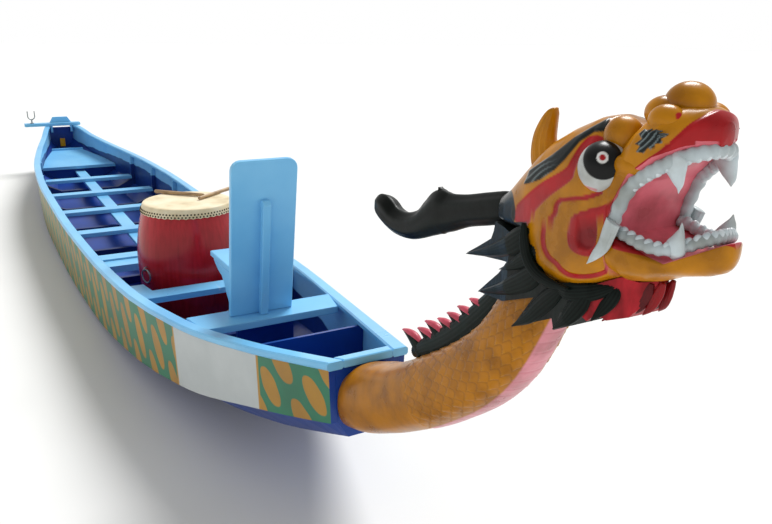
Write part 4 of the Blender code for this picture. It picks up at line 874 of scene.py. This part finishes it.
# Outlines and lines of the painted head, as pixels of the photograph
headPaintPx = {
    "maneShade": (
        (505, 222), (526, 222), (528, 238), (531, 256), (538, 272), (551, 285), (568, 292), (560, 302),
        (505, 290),
    ),
    "socket": ((480, 175), (509, 184), (513, 194), (515, 206), (514, 226), (505, 240), (480, 240)),
    "eyelid": (
        (616, 153), (611, 144), (601, 136), (590, 136), (580, 145), (571, 159), (564, 169), (542, 182),
        (525, 196), (512, 212), (516, 222), (527, 225), (536, 210), (550, 196), (571, 180), (575, 170),
        (583, 152), (594, 147), (606, 147),
    ),
    "brow": (
        (524, 184), (530, 170), (552, 155), (575, 137), (592, 127), (611, 117), (606, 132), (595, 132),
        (580, 142), (565, 160), (555, 170), (540, 180), (527, 184),
    ),
    "tuft": (
        (636, 152), (640, 146), (635, 144), (642, 139), (639, 134), (645, 129), (651, 132), (657, 129),
        (660, 134), (669, 135), (661, 139), (663, 143), (655, 144), (654, 149), (648, 148), (644, 153),
    ),
    "lip": (
        (712, 111), (729, 106), (742, 117), (742, 130), (735, 148), (712, 150), (680, 154), (655, 163),
        (637, 175), (625, 188), (621, 202), (618, 226), (597, 226), (596, 245), (590, 256), (577, 254),
        (569, 247), (567, 235), (569, 222), (575, 214), (592, 208), (610, 202), (618, 190), (628, 174),
        (645, 160), (660, 150), (677, 135), (692, 122),
    ),
    "lipDeep": ((597, 226), (596, 243), (590, 250), (579, 247), (576, 236), (580, 226)),
    "cheekLine": (
        (600, 192.5), (587.5, 197), (572.5, 199), (561, 200), (556, 205), (554, 214), (547, 221.5),
        (543, 231), (543, 245), (547.5, 256), (556, 264), (561, 270), (570, 275.5), (585, 277),
        (600, 274.5), (615, 267.5), (627.5, 262.5),
    ),
    "cheekLinePx": 2.4,
    "lowerLip": (
        (612, 238), (642, 246), (667, 248), (687, 241), (717, 235), (744, 238), (744, 249), (717, 245),
        (687, 254), (667, 261), (642, 256), (612, 248),
    ),
}


# Each section is rounder above and squarer below its widest height; powers of sine and cosine give it
def carvedGrid(sections, curve, steps, sides, smoothM):
    table = np.asarray(sections, float)
    forward = np.linspace(table[0, 0], table[-1, 0], steps)
    columns = [np.interp(forward, table[:, 0], table[:, index]) for index in range(1, 5)]
    spread = max(1, int(smoothM / (forward[1] - forward[0])))
    kernel = np.hanning(2 * spread + 3)[1:-1]
    kernel /= kernel.sum()
    for index in (1, 2, 3):
        padded = np.pad(columns[index], spread, mode="edge")
        columns[index] = np.convolve(padded, kernel, "valid")
    under, widest, top, half = (column[:, None] for column in columns)
    angle = np.linspace(0, 2 * math.pi, sides, endpoint=False)[None, :]
    above = np.sin(angle) >= 0
    power = np.where(above, 2 / curve[0], 2 / curve[1])
    reach = np.where(above, top - widest, widest - under)
    aside = np.sign(np.cos(angle)) * np.abs(np.cos(angle)) ** power * half
    up = widest + np.sign(np.sin(angle)) * np.abs(np.sin(angle)) ** power * reach
    return np.stack([bowX + forward[:, None] + 0 * aside, aside, up], -1)


# A grid's outward directions, from the cross product of its two ways
def gridNormals(points):
    along = np.gradient(points, axis=0)
    wrapped = np.concatenate([points[:, -1:], points, points[:, :1]], 1)
    around = (wrapped[:, 2:] - wrapped[:, :-2]) / 2
    normal = np.cross(along, around)
    normal /= np.maximum(np.linalg.norm(normal, axis=2)[..., None], 1e-12)
    outward = points - points.mean(1, keepdims=True)
    return normal * np.sign(np.einsum("ijk,ijk->ij", normal, outward).sum())


# Two colours mixed point by point: the first times what the share leaves, and the second times the share
def blended(paint, colour, share):
    share = share[:, None]
    return paint * (1 - share) + colour * share


# Fine light and dark hairs that run along a tuft: a sine across the hairs, bent by a slow one along them
def hairShare(pixels, direction, pitch):
    across = pixels @ np.array((-direction[1], direction[0])) / np.hypot(*direction)
    along = pixels @ np.array(direction) / np.hypot(*direction)
    return smoothStep(0.35, 0.9, np.sin(2 * math.pi * (across + 1.3 * np.sin(along / 7)) / pitch))


# The colour and the rise of each point of the head, by how deep its pixel lies inside each outline
def paintHead(points, normals):
    flat, facing = points.reshape(-1, 3), normals.reshape(-1, 3)
    pixels = toPhoto(flat)
    drawn = headPaintPx
    red, deep = linearRgb(head["red"]), linearRgb(head["shadedRed"])
    eyelid, lip, pit = (depthIn(pixels, smoothOutline(drawn[name])) for name in ("eyelid", "lip", "lipDeep"))
    line = drawn["cheekLinePx"] - distanceTo(pixels, smoothRows(drawn["cheekLine"], 90))

    paint = np.tile(linearRgb(head["mustard"]), (len(flat), 1))
    # The pit at the mouth's corner is sunk, and a deeper red is painted in it as painted shade
    sunk = smoothStep(0, 3, pit)
    for colour, share in (
        (red, covered(eyelid)), (red, covered(lip)), (deep, head["pitShadeShare"] * sunk), (red, covered(line)),
    ):
        paint = blended(paint, colour, share)
    rise = head["lipProud"] * smoothStep(0.0, 4.0, lip) * (1 - sunk)
    rise -= head["pitDeep"] * sunk + head["lidDeep"] * smoothStep(-1.0, 2.0, eyelid)
    rise -= head["lineDeep"] * smoothStep(-1.5, drawn["cheekLinePx"] - 1.0, line)

    onSide = smoothStep(*head["hairAside"], np.abs(flat[:, 1]))
    for name, (direction, fadeAt) in head["hairs"].items():
        depth = np.where(onSide > 0, depthIn(pixels, drawn[name]), -9.0)
        fade = 1 - smoothStep(fadeAt - head["fadePx"], fadeAt, pixels[:, 0])
        strands = hairShare(pixels, direction, head["strandPx"]) * fade
        share = covered(depth) * onSide
        paint = blended(paint, linearRgb(head["brow"]), share)
        paint = blended(paint, linearRgb(head["hair"]), share * strands * head["hairShare"])
        rise += smoothStep(-1.0, 2.5, depth) * (head["hairProud"] + head["strandProud"] * strands) * onSide
    for name in ("socket", "maneShade"):
        paint = blended(paint, linearRgb(head["black"]), covered(depthIn(pixels, drawn[name])))

    low, high, under = head["mouth"]
    forward = flat[:, 0] - bowX
    inMouth = (facing[:, 2] < -0.25) | (facing[:, 0] > 0.8)
    inMouth &= (forward > low) & (forward < high) & (flat[:, 2] < under)
    return blended(paint, linearRgb(head["palate"]), inMouth.astype(float)), np.where(inMouth, 0, rise)


# Paint and relief for a carving: each point moves out by its rise
def carvedPiece(name, node, points, paintFor):
    normals = gridNormals(points)
    paint, rise = paintFor(points, normals)
    points = points + normals * rise.reshape(points.shape[:2])[..., None]
    gridPiece(name, points, carved, node, paint=paint)


headGrid = carvedGrid(head["sections"], head["curve"], head["steps"], head["sides"], head["smoothM"])
carvedPiece("carved_head", "dragon_head", headGrid, paintHead)


# The lower jaw, in the same columns
jaw = {
    "sections": (
        (1.0158, 1.262, 1.320, 1.340, 0.098), (1.0390, 1.257, 1.314, 1.331, 0.096),
        (1.0600, 1.263, 1.311, 1.326, 0.092), (1.0820, 1.270, 1.308, 1.322, 0.086),
        (1.1170, 1.289, 1.308, 1.320, 0.076), (1.1450, 1.2965, 1.323, 1.3367, 0.066),
        (1.1600, 1.300, 1.331, 1.346, 0.051), (1.1740, 1.307, 1.339, 1.3546, 0.035),
        (1.1840, 1.317, 1.347, 1.360, 0.018), (1.1890, 1.332, 1.350, 1.361, 0.007),
    ),
    "curve": (7.0, 2.3), "steps": 170, "sides": 220, "smoothM": 0.004, "lipRise": 0.003,
    "mouthAside": 0.074,  # half the width of the palate
    "tip": (1.172, 1.184),  # the lip's edge fades out here
}


# The same for the jaw: a red lip along its upper edge and a pink palate inside
def paintJaw(points, normals):
    flat = points.reshape(-1, 3)
    lip = depthIn(toPhoto(flat), smoothOutline(headPaintPx["lowerLip"]))
    inside = (normals.reshape(-1, 3)[:, 2] > 0.7) & (np.abs(flat[:, 1]) < jaw["mouthAside"])
    paint = np.tile(linearRgb(head["mustard"]), (len(flat), 1))
    paint = blended(paint, linearRgb(head["red"]), covered(lip))
    paint = blended(paint, linearRgb(head["palate"]), inside.astype(float))
    fromTip = 1 - smoothStep(*jaw["tip"], flat[:, 0] - bowX)
    return paint, jaw["lipRise"] * smoothStep(-1, 3, lip) * (1 - inside) * fromTip


jawGrid = carvedGrid(jaw["sections"], jaw["curve"], jaw["steps"], jaw["sides"], jaw["smoothM"])
carvedPiece("carved_jaw", "lower_jaw", jawGrid, paintJaw)


# Round bosses of the face, each a ball sunk into the head: forward, aside and up, and its three radii
bosses = {
    "balls": {
        "nose_bulb": ((1.0680, 0.0, 1.5575), (0.042, 0.036, 0.036)),
        "nose_bridge": ((1.0400, 0.018, 1.5420), (0.036, 0.030, 0.028)),
        "nostril": ((1.0720, 0.052, 1.5340), (0.031, 0.026, 0.026)),
        "brow_boss": ((0.9880, 0.050, 1.5000), (0.035, 0.032, 0.034)),
        "cheek_boss": ((1.0300, 0.082, 1.4600), (0.034, 0.018, 0.017)),
    },
    "nostrilPx": (679, 116), "nostrilRadiusPx": 3.8,
}


# Each boss is a ball, on both sides where it isn't on the middle, and the nostril has a red spot
def makeBosses():
    for name, ((forward, aside, up), radii) in bosses["balls"].items():
        for sign, side in bothSides if aside else ((1, "middle"),):
            points = ballGrid((bowX + forward, sign * aside, up), radii)
            paint = head["mustard"]
            if name == "nostril":
                fromSpot = np.linalg.norm(toPhoto(points.reshape(-1, 3)) - bosses["nostrilPx"], axis=1)
                share = covered(bosses["nostrilRadiusPx"] - fromSpot)
                paint = blended(linearRgb(head["mustard"]), linearRgb(head["red"]), share)
            gridPiece(f"{name}_{side}", points, carved, paint=paint)


makeBosses()


# The eyes: balls with a black iris, and in it a white ring round a red pupil, as pixels of the photograph
eye = {
    "radius": 0.044, "forward": 0.981, "aside": 0.080, "up": 1.450, "painted": 0.060,
    "white": "D5DDE0", "black": "0E1011", "rings": 96, "sides": 130, "edgePx": 0.4,
    "irisPx": (603, 160), "irisRadiusPx": 20.0, "ringPx": (602.5, 157.5), "ringRadiusPx": 6.0,
    "ring": "EDEFEF", "pupilRadiusPx": 3.2,
    "veinPx": ((574, 177), (583, 186), (596, 190)), "veinEdgePx": (0.5, 1.6), "veinShare": 0.7,
}


# An eye: each point's colour goes by the distance of its pixel from the middles of iris and ring
def makeEye(sign, side):
    centre = (bowX + eye["forward"], sign * eye["aside"], eye["up"])
    points = ballGrid(centre, (eye["radius"],) * 3, eye["rings"], eye["sides"])
    flat = points.reshape(-1, 3)
    pixels = toPhoto(flat)
    outer = flat[:, 1] * sign > eye["painted"]
    fromIris = np.linalg.norm(pixels - eye["irisPx"], axis=1)
    fromRing = np.linalg.norm(pixels - eye["ringPx"], axis=1)
    veins = 1 - smoothStep(*eye["veinEdgePx"], distanceTo(pixels, eye["veinPx"]))
    paint = blended(linearRgb(eye["white"]), linearRgb(head["palate"]), eye["veinShare"] * veins * outer)
    for depth, colour in (
        (eye["irisRadiusPx"] - fromIris, eye["black"]), (eye["ringRadiusPx"] - fromRing, eye["ring"]),
        (eye["pupilRadiusPx"] - fromRing, head["red"]),
    ):
        paint = blended(paint, linearRgb(colour), covered(depth, eye["edgePx"]) * outer)
    gridPiece(f"painted_eye_{side}", points, toothEnamel, f"eye_{side}", paint=paint)


for sign, side in bothSides:
    makeEye(sign, side)
print("head made")


# The teeth: a gum round each jaw, small teeth along it, and long curved fangs
teeth = {
    "white": "CBD7DB", "gum": "BAC6CA", "upperGum": 0.0115, "lowerGum": 0.0098, "gumWave": 0.10,
    "upperReach": -0.010, "lowerReach": 0.008,  # from the gum's middle to the small teeth's tips
    "upperPath": (
        (1.0175, 0.088, 1.350), (1.024, 0.087, 1.383), (1.043, 0.084, 1.426), (1.062, 0.080, 1.447),
        (1.081, 0.074, 1.462), (1.100, 0.063, 1.476), (1.118, 0.047, 1.487), (1.131, 0.026, 1.493),
        (1.135, 0.000, 1.495),
    ),
    "lowerPath": (
        (1.020, 0.078, 1.349), (1.050, 0.077, 1.343), (1.082, 0.074, 1.337), (1.110, 0.064, 1.337),
        (1.135, 0.049, 1.347), (1.153, 0.033, 1.358), (1.163, 0.014, 1.363), (1.165, 0.000, 1.364),
    ),
    "upperFang": (
        (1.098, 0.058, 1.490), (1.104, 0.060, 1.475), (1.111, 0.060, 1.458), (1.1175, 0.061, 1.442),
        (1.119, 0.062, 1.4295),
    ),
    "lowerFang": (
        (1.118, 0.055, 1.326), (1.122, 0.056, 1.340), (1.127, 0.057, 1.356), (1.131, 0.059, 1.372),
        (1.132, 0.061, 1.3865),
    ),
    "fangRadii": (0.008, 0.020, 0.0155, 0.0085, 0.0008), "fangFlat": 0.55,
    "smallTeeth": 26, "smallRadius": 0.0080, "smallReach": 0.010,
}


# The whole horseshoe from port to starboard, through one side's points and their mirror image
def horseshoe(path, count):
    port = np.asarray(path, float)
    whole = np.vstack([port, (port * (1, -1, 1))[-2::-1]])
    return smoothRows(whole, count) + (bowX, 0, 0)


# A gum: rings along its line that swell and shrink with a cosine, once for each small tooth
def makeGum(name):
    path = teeth[f"{name}Path"]
    line = horseshoe(path, 220)
    wave = np.cos(np.linspace(0, 2 * math.pi * teeth["smallTeeth"], len(line)))
    radius = teeth[f"{name}Gum"] * (1 + teeth["gumWave"] * wave)
    grid = alongPath(line, radius, radius, 28)
    gridPiece(f"{name}_gum", grid, toothEnamel, f"{name}_teeth", paint=teeth["gum"])
    radii = (teeth["smallRadius"], teeth["smallRadius"], teeth["smallReach"])
    places = horseshoe(path, teeth["smallTeeth"] + 2)[1:-1] + (0, 0, teeth[f"{name}Reach"] * 0.5)
    crowns = [ballGrid(place, radii, 14, 18) for place in places]
    scattered(f"{name}_small_teeth", crowns, plainTooth)


# A fang: rings along a curved line that shrink to a point
def makeFang(name, side, sign):
    rows = smoothRows(np.column_stack([teeth[f"{name}Fang"], teeth["fangRadii"]]), 50)
    path = rows[:, :3] * (1, sign, 1) + (bowX, 0, 0)
    grid = alongPath(path, rows[:, 3] * teeth["fangFlat"], rows[:, 3], 32)
    gridPiece(f"{name}_fang_{side}", grid, toothEnamel, paint=teeth["white"])


for name in ("upper", "lower"):
    makeGum(name)
for sign, side in bothSides:
    for name in ("upper", "lower"):
        makeFang(name, side, sign)


# Leaves of the mane and beard: spine and widths as pixels, and the side of one that stands by itself
leaves = {
    "black": (
        (((536, 226), (521, 238), (508, 246), (490, 251), (467, 253.5)), (6, 24, 22, 12, 1)),
        (((548, 262), (532, 276), (516, 284), (500, 289), (479, 291)), (6, 24, 21, 12, 1)),
        (((546, 244), (534, 252), (522, 260), (511, 266), (500, 269)), (6, 22, 18, 9, 1)),
        (((566, 286), (552, 296), (540, 306), (528, 317), (512, 326)), (6, 20, 20, 14, 1)),
        (((590, 290), (582, 300), (574, 310), (565, 320), (553, 329)), (8, 22, 22, 14, 1)),
        (((620, 284), (613, 293), (607, 302), (600, 311), (591, 321)), (8, 20, 20, 13, 1)),
        (((556, 286), (570, 292), (588, 292), (608, 288), (629, 280)), (8, 20, 20, 14, 1)),
        (((524, 223), (524, 239), (527, 257), (535, 272), (549, 283), (568, 289)), (4, 11, 13, 13, 11, 3),
         0.098),
    ),
    "red": (
        (((638, 284), (631, 294), (623, 303), (614, 312), (602, 321)), (5, 12, 12, 9, 1)),
        (((652, 283), (648, 292), (643, 300), (638, 308), (630, 315)), (6, 14, 14, 10, 1)),
        (((664, 283), (660, 291), (655, 300), (650, 308), (643, 315)), (5, 11, 12, 9, 1)),
    ),
    "thick": 0.009, "redThick": 0.0072, "steps": 60, "sides": 48, "ridges": 3, "ridge": 0.10,
    "lens": 1.2,  # the section's power of sine: more makes its edges sharper
    "thinnest": 0.12,  # a leaf's least width that counts for its thickness, as a share of its widest
    # On the mane leaves the edge colour is a painted highlight on the ridge tops, with painted shade left in
    # the grooves
    "colour": "080D0B", "edge": "16211D", "redColour": "8E141A", "shadedRed": "5E0C12",
    "reach": (  # the mane's half width at each distance forward
        (0.500, 0.010), (0.5875, 0.030), (0.650, 0.050), (0.716, 0.070), (0.755, 0.086), (0.930, 0.086),
        (0.972, 0.074), (1.000, 0.058), (1.022, 0.044), (1.044, 0.028), (1.068, 0.012),
    ),
}


# A leaf: its spine's pixels are set on the mane's side, which is nearer the middle towards its ends, or at
# the side given. The section is a lens with shallow ridges along it, as wide as the leaf and thinner where
# the leaf is narrow.
def leafGrid(spinePx, widthsPx, thick, sign, aside=None, coarse=1):
    rows = smoothRows(np.column_stack([spinePx, widthsPx]), leaves["steps"] // coarse)
    reach = np.asarray(leaves["reach"])
    out = np.full(len(rows), aside or 0.08)
    for _ in range(4):
        spine = fromPhoto(rows[:, :2], -out)
        if aside is None:
            out = np.interp(spine[:, 0] - bowX, reach[:, 0], reach[:, 1])
    depth = (spine - np.array(camera["place"])) @ np.array(camera["forward"])
    half = rows[:, 2] / 2 * depth / camera["focalPx"]
    spine = spine * (1, -sign, 1)
    along = np.gradient(spine, axis=0)
    along /= np.linalg.norm(along, axis=1)[:, None]
    outward = np.tile((0.0, float(sign), 0.0), (len(rows), 1))
    outward -= along * np.einsum("ij,ij->i", outward, along)[:, None]
    outward /= np.linalg.norm(outward, axis=1)[:, None]
    across = np.cross(along, outward)
    turn = np.linspace(0, 2 * math.pi, leaves["sides"] // coarse, endpoint=False)
    wide = np.cos(turn)
    bulge = np.sign(np.sin(turn)) * np.abs(np.sin(turn)) ** leaves["lens"]
    bulge = bulge * (1 + leaves["ridge"] * np.cos(math.pi * leaves["ridges"] * wide * 2))
    deep = thick * np.clip(rows[:, 2] / rows[:, 2].max(), leaves["thinnest"], 1) ** 0.5
    return (spine[:, None] + across[:, None] * (half[:, None] * wide)[..., None]
            + outward[:, None] * (deep[:, None] * bulge)[..., None])


# A leaf in one colour, or in two that follow its ridges: the second comes in between two heights of them
def leafPiece(name, shape, material, paint, node=None):
    grid = leafGrid(*shape)
    if not isinstance(paint, str):
        turn = np.linspace(0, 2 * math.pi, grid.shape[1], endpoint=False)
        height = np.cos(2 * math.pi * leaves["ridges"] * np.cos(turn))[None, :, None]
        share = np.clip((height - paint[2]) / (paint[3] - paint[2]), 0, 1)
        first, second = linearRgb(paint[0]), linearRgb(paint[1])
        paint = np.broadcast_to(first + (second - first) * share, grid.shape).reshape(-1, 3)
    gridPiece(name, grid, material, node, paint=paint)


# The flat tusk that curls out of each corner of the mouth, as pixels of the photograph, and its thickness
tusk = {
    "spinePx": ((613, 222), (609, 232), (603, 246), (594, 256), (587, 263.5)),
    "widthsPx": (19, 18, 15, 9, 0.6), "aside": 0.1035, "thick": 0.006,
}

for sign, side in bothSides:
    for index, (spine, widths, *aside) in enumerate(leaves["black"]):
        shape = (spine, widths, leaves["thick"], sign, *aside)
        # Mane leaves: black, with a painted highlight on the ridge tops
        leafPiece(f"mane_leaf_{index + 1}_{side}", shape, blackEnamel,
                  (leaves["colour"], leaves["edge"], -1, 1))
    for index, (spine, widths) in enumerate(leaves["red"]):
        # The beard's red is darker than the head's, and the middle leaf is a still deeper red: painted shade
        # under the jaw
        tone = leaves["shadedRed"] if index == 1 else leaves["redColour"]
        leafPiece(f"beard_leaf_{index + 1}_{side}", (spine, widths, leaves["redThick"], sign), carved, tone)
    shape = (tusk["spinePx"], tusk["widthsPx"], tusk["thick"], sign, tusk["aside"])
    leafPiece(f"cheek_tusk_{side}", shape, toothEnamel, teeth["white"])


# The fin along the neck, as pixels of the photograph: a low ridge, curved leaves that lean aft from it, and
# a pink lobe along the upper edge of each leaf
fin = {
    "ridgePx": (
        (414, 352), (425, 348), (439, 343), (452, 336), (465, 327), (477, 317), (489, 306), (500, 295),
        (509, 287),
    ),
    "ridgeWidthsPx": (11, 20, 25, 26, 26, 26, 26, 24, 12), "ridgeThick": 0.0120,
    "tipsPx": (
        (403.5, 329.5), (418.5, 328.2), (426, 321.2), (438.5, 318.7), (448, 313), (458.5, 306.5),
        (470.5, 299),
    ),
    "leafPx": ((0, 0), (7, 7), (13, 16), (18, 27)), "leafWidthsPx": (1, 9, 14, 17), "leafThick": 0.0100,
    "lobePx": ((0.5, -0.5), (6, 2), (12, 6), (17, 12)), "lobeWidthsPx": (2, 5.5, 5.5, 2),
    "lobeThick": 0.0110,
    "colour": "121F1A", "lobe": "CF5468",
}
leafPiece("fin_ridge", (fin["ridgePx"], fin["ridgeWidthsPx"], fin["ridgeThick"], -1, middle), blackEnamel,
          fin["colour"], node="dorsal_fin")
for index, tip in enumerate(fin["tipsPx"]):
    for part, material, colour in (("leaf", blackEnamel, fin["colour"]), ("lobe", carved, fin["lobe"])):
        spine = np.asarray(tip) + fin[f"{part}Px"]
        shape = (spine, fin[f"{part}WidthsPx"], fin[f"{part}Thick"], -1, middle, 2)
        leafPiece(f"fin_{part}_{index + 1}", shape, material, colour)

# Feathers of the tuft under each nostril, as pixels of the photograph
tuft = {
    "feathersPx": (
        ((668, 134), (659, 136), (650, 143), (642, 152)), ((662, 131), (653, 133), (645, 141), (638, 150)),
        ((652, 129), (646, 134), (642, 141), (637, 145)),
    ),
    "widthsPx": (1, 5, 6, 1), "thick": 0.004, "aside": 0.083, "colour": "131A1A", "light": "687577",
    "lightAt": (0.599, 0.601),  # the ridges' height at which the light colour starts
}
for sign, side in bothSides:
    for index, spine in enumerate(tuft["feathersPx"]):
        shape = (spine, tuft["widthsPx"], tuft["thick"], sign, tuft["aside"], 2)
        leafPiece(f"tuft_feather_{index + 1}_{side}", shape, carved,
                  (tuft["colour"], tuft["light"], *tuft["lightAt"]))

# The prong on the horn, and the crest behind the brow: a curled, pointed ear of wood. Both are pixels of
# the photograph.
prong = {
    "spinePx": ((449, 203), (445, 196), (442, 191), (440.5, 187)), "widthsPx": (22, 13, 7, 1),
    "thick": 0.02,
}
crest = {
    "spinePx": ((548, 170), (545, 154), (545, 138), (549, 123), (553, 113), (555.5, 108)),
    "widthsPx": (38, 35, 28, 20, 12, 3), "thick": 0.024,
}
leafPiece("horn_prong", (prong["spinePx"], prong["widthsPx"], prong["thick"], -1, middle, 2), blackEnamel,
          horn["colour"])
leafPiece("carved_crest", (crest["spinePx"], crest["widthsPx"], crest["thick"], -1, middle), carved,
          head["mustard"], "crest")
print("teeth, mane and fin made")


# Floor, light and camera

studio = {
    "floorM": 160.0, "floor": "E9E9E7", "floorDeep": "E4E4E2",
    "sky": "FFFFFF", "horizon": 1.0, "overhead": 0.50, "fade": (0.08, 0.4),  # from this rise to this one
    "keyPlace": (-8.0, 10.0, 16.0), "keyAim": (1.0, 0.0, 0.4), "keySpreadDegrees": 26, "keyStrength": 3.3,
}


# The floor is rolled with matt white paint: no highlight, and clouds so faint that it reads as plain
def makeStudio():
    half = studio["floorM"] / 2
    mesh = bpy.data.meshes.new("floor")
    corners = [(-half, -half, 0), (half, -half, 0), (half, half, 0), (-half, half, 0)]
    mesh.from_pydata(corners, [], [(0, 1, 2, 3)])
    floor = bpy.data.objects.new("floor", mesh)
    bpy.context.scene.collection.objects.link(floor)
    material, tree, shader = newMaterial("matt white floor")
    colour = addNode(tree, "ValToRGB", objectNoise(tree, 0.6, 3),
                     stops=((0.3, studio["floorDeep"]), (0.7, studio["floor"])))
    fill(tree, shader, Base_Color=colour, Roughness=0.9)
    mesh.materials.append(material)

    world = bpy.data.worlds.new("studio")
    world.use_nodes = True
    tree = world.node_tree
    look = addNode(tree, "TexCoord").outputs["Generated"]
    rise = addNode(tree, "SeparateXYZ", look).outputs["Z"]
    low, high = studio["fade"]
    strength = addNode(tree, "MapRange", Value=rise, From_Min=low, From_Max=high, To_Min=studio["horizon"],
                       To_Max=studio["overhead"])
    fill(tree, tree.nodes["Background"], Color=rgba(studio["sky"]), Strength=strength)
    bpy.context.scene.world = world

    light = bpy.data.lights.new("key", "SUN")
    light.angle = math.radians(studio["keySpreadDegrees"])
    light.energy = studio["keyStrength"]
    lamp = bpy.data.objects.new("key", light)
    bpy.context.scene.collection.objects.link(lamp)
    aim = (Vector(studio["keyAim"]) - Vector(studio["keyPlace"])).to_track_quat("-Z", "Y")
    lamp.matrix_world = Matrix.Translation(studio["keyPlace"]) @ aim.to_matrix().to_4x4()


# The lens in millimetres is the focal length in pixels times the sensor over the image, both by width
def makeCamera():
    data = bpy.data.cameras.new("camera")
    data.sensor_width = camera["sensorMm"]
    data.lens = camera["focalPx"] * camera["sensorMm"] / camera["imagePx"][0]
    viewer = bpy.data.objects.new("camera", data)
    bpy.context.scene.collection.objects.link(viewer)
    axes = Matrix((Vector(camera["right"]), Vector(camera["up"]), -Vector(camera["forward"])))
    viewer.matrix_world = Matrix.Translation(camera["place"]) @ axes.transposed().to_4x4()
    bpy.context.scene.camera = viewer


makeStudio()
makeCamera()
bpy.context.scene.view_settings.view_transform = "Standard"
print("studio and camera set")
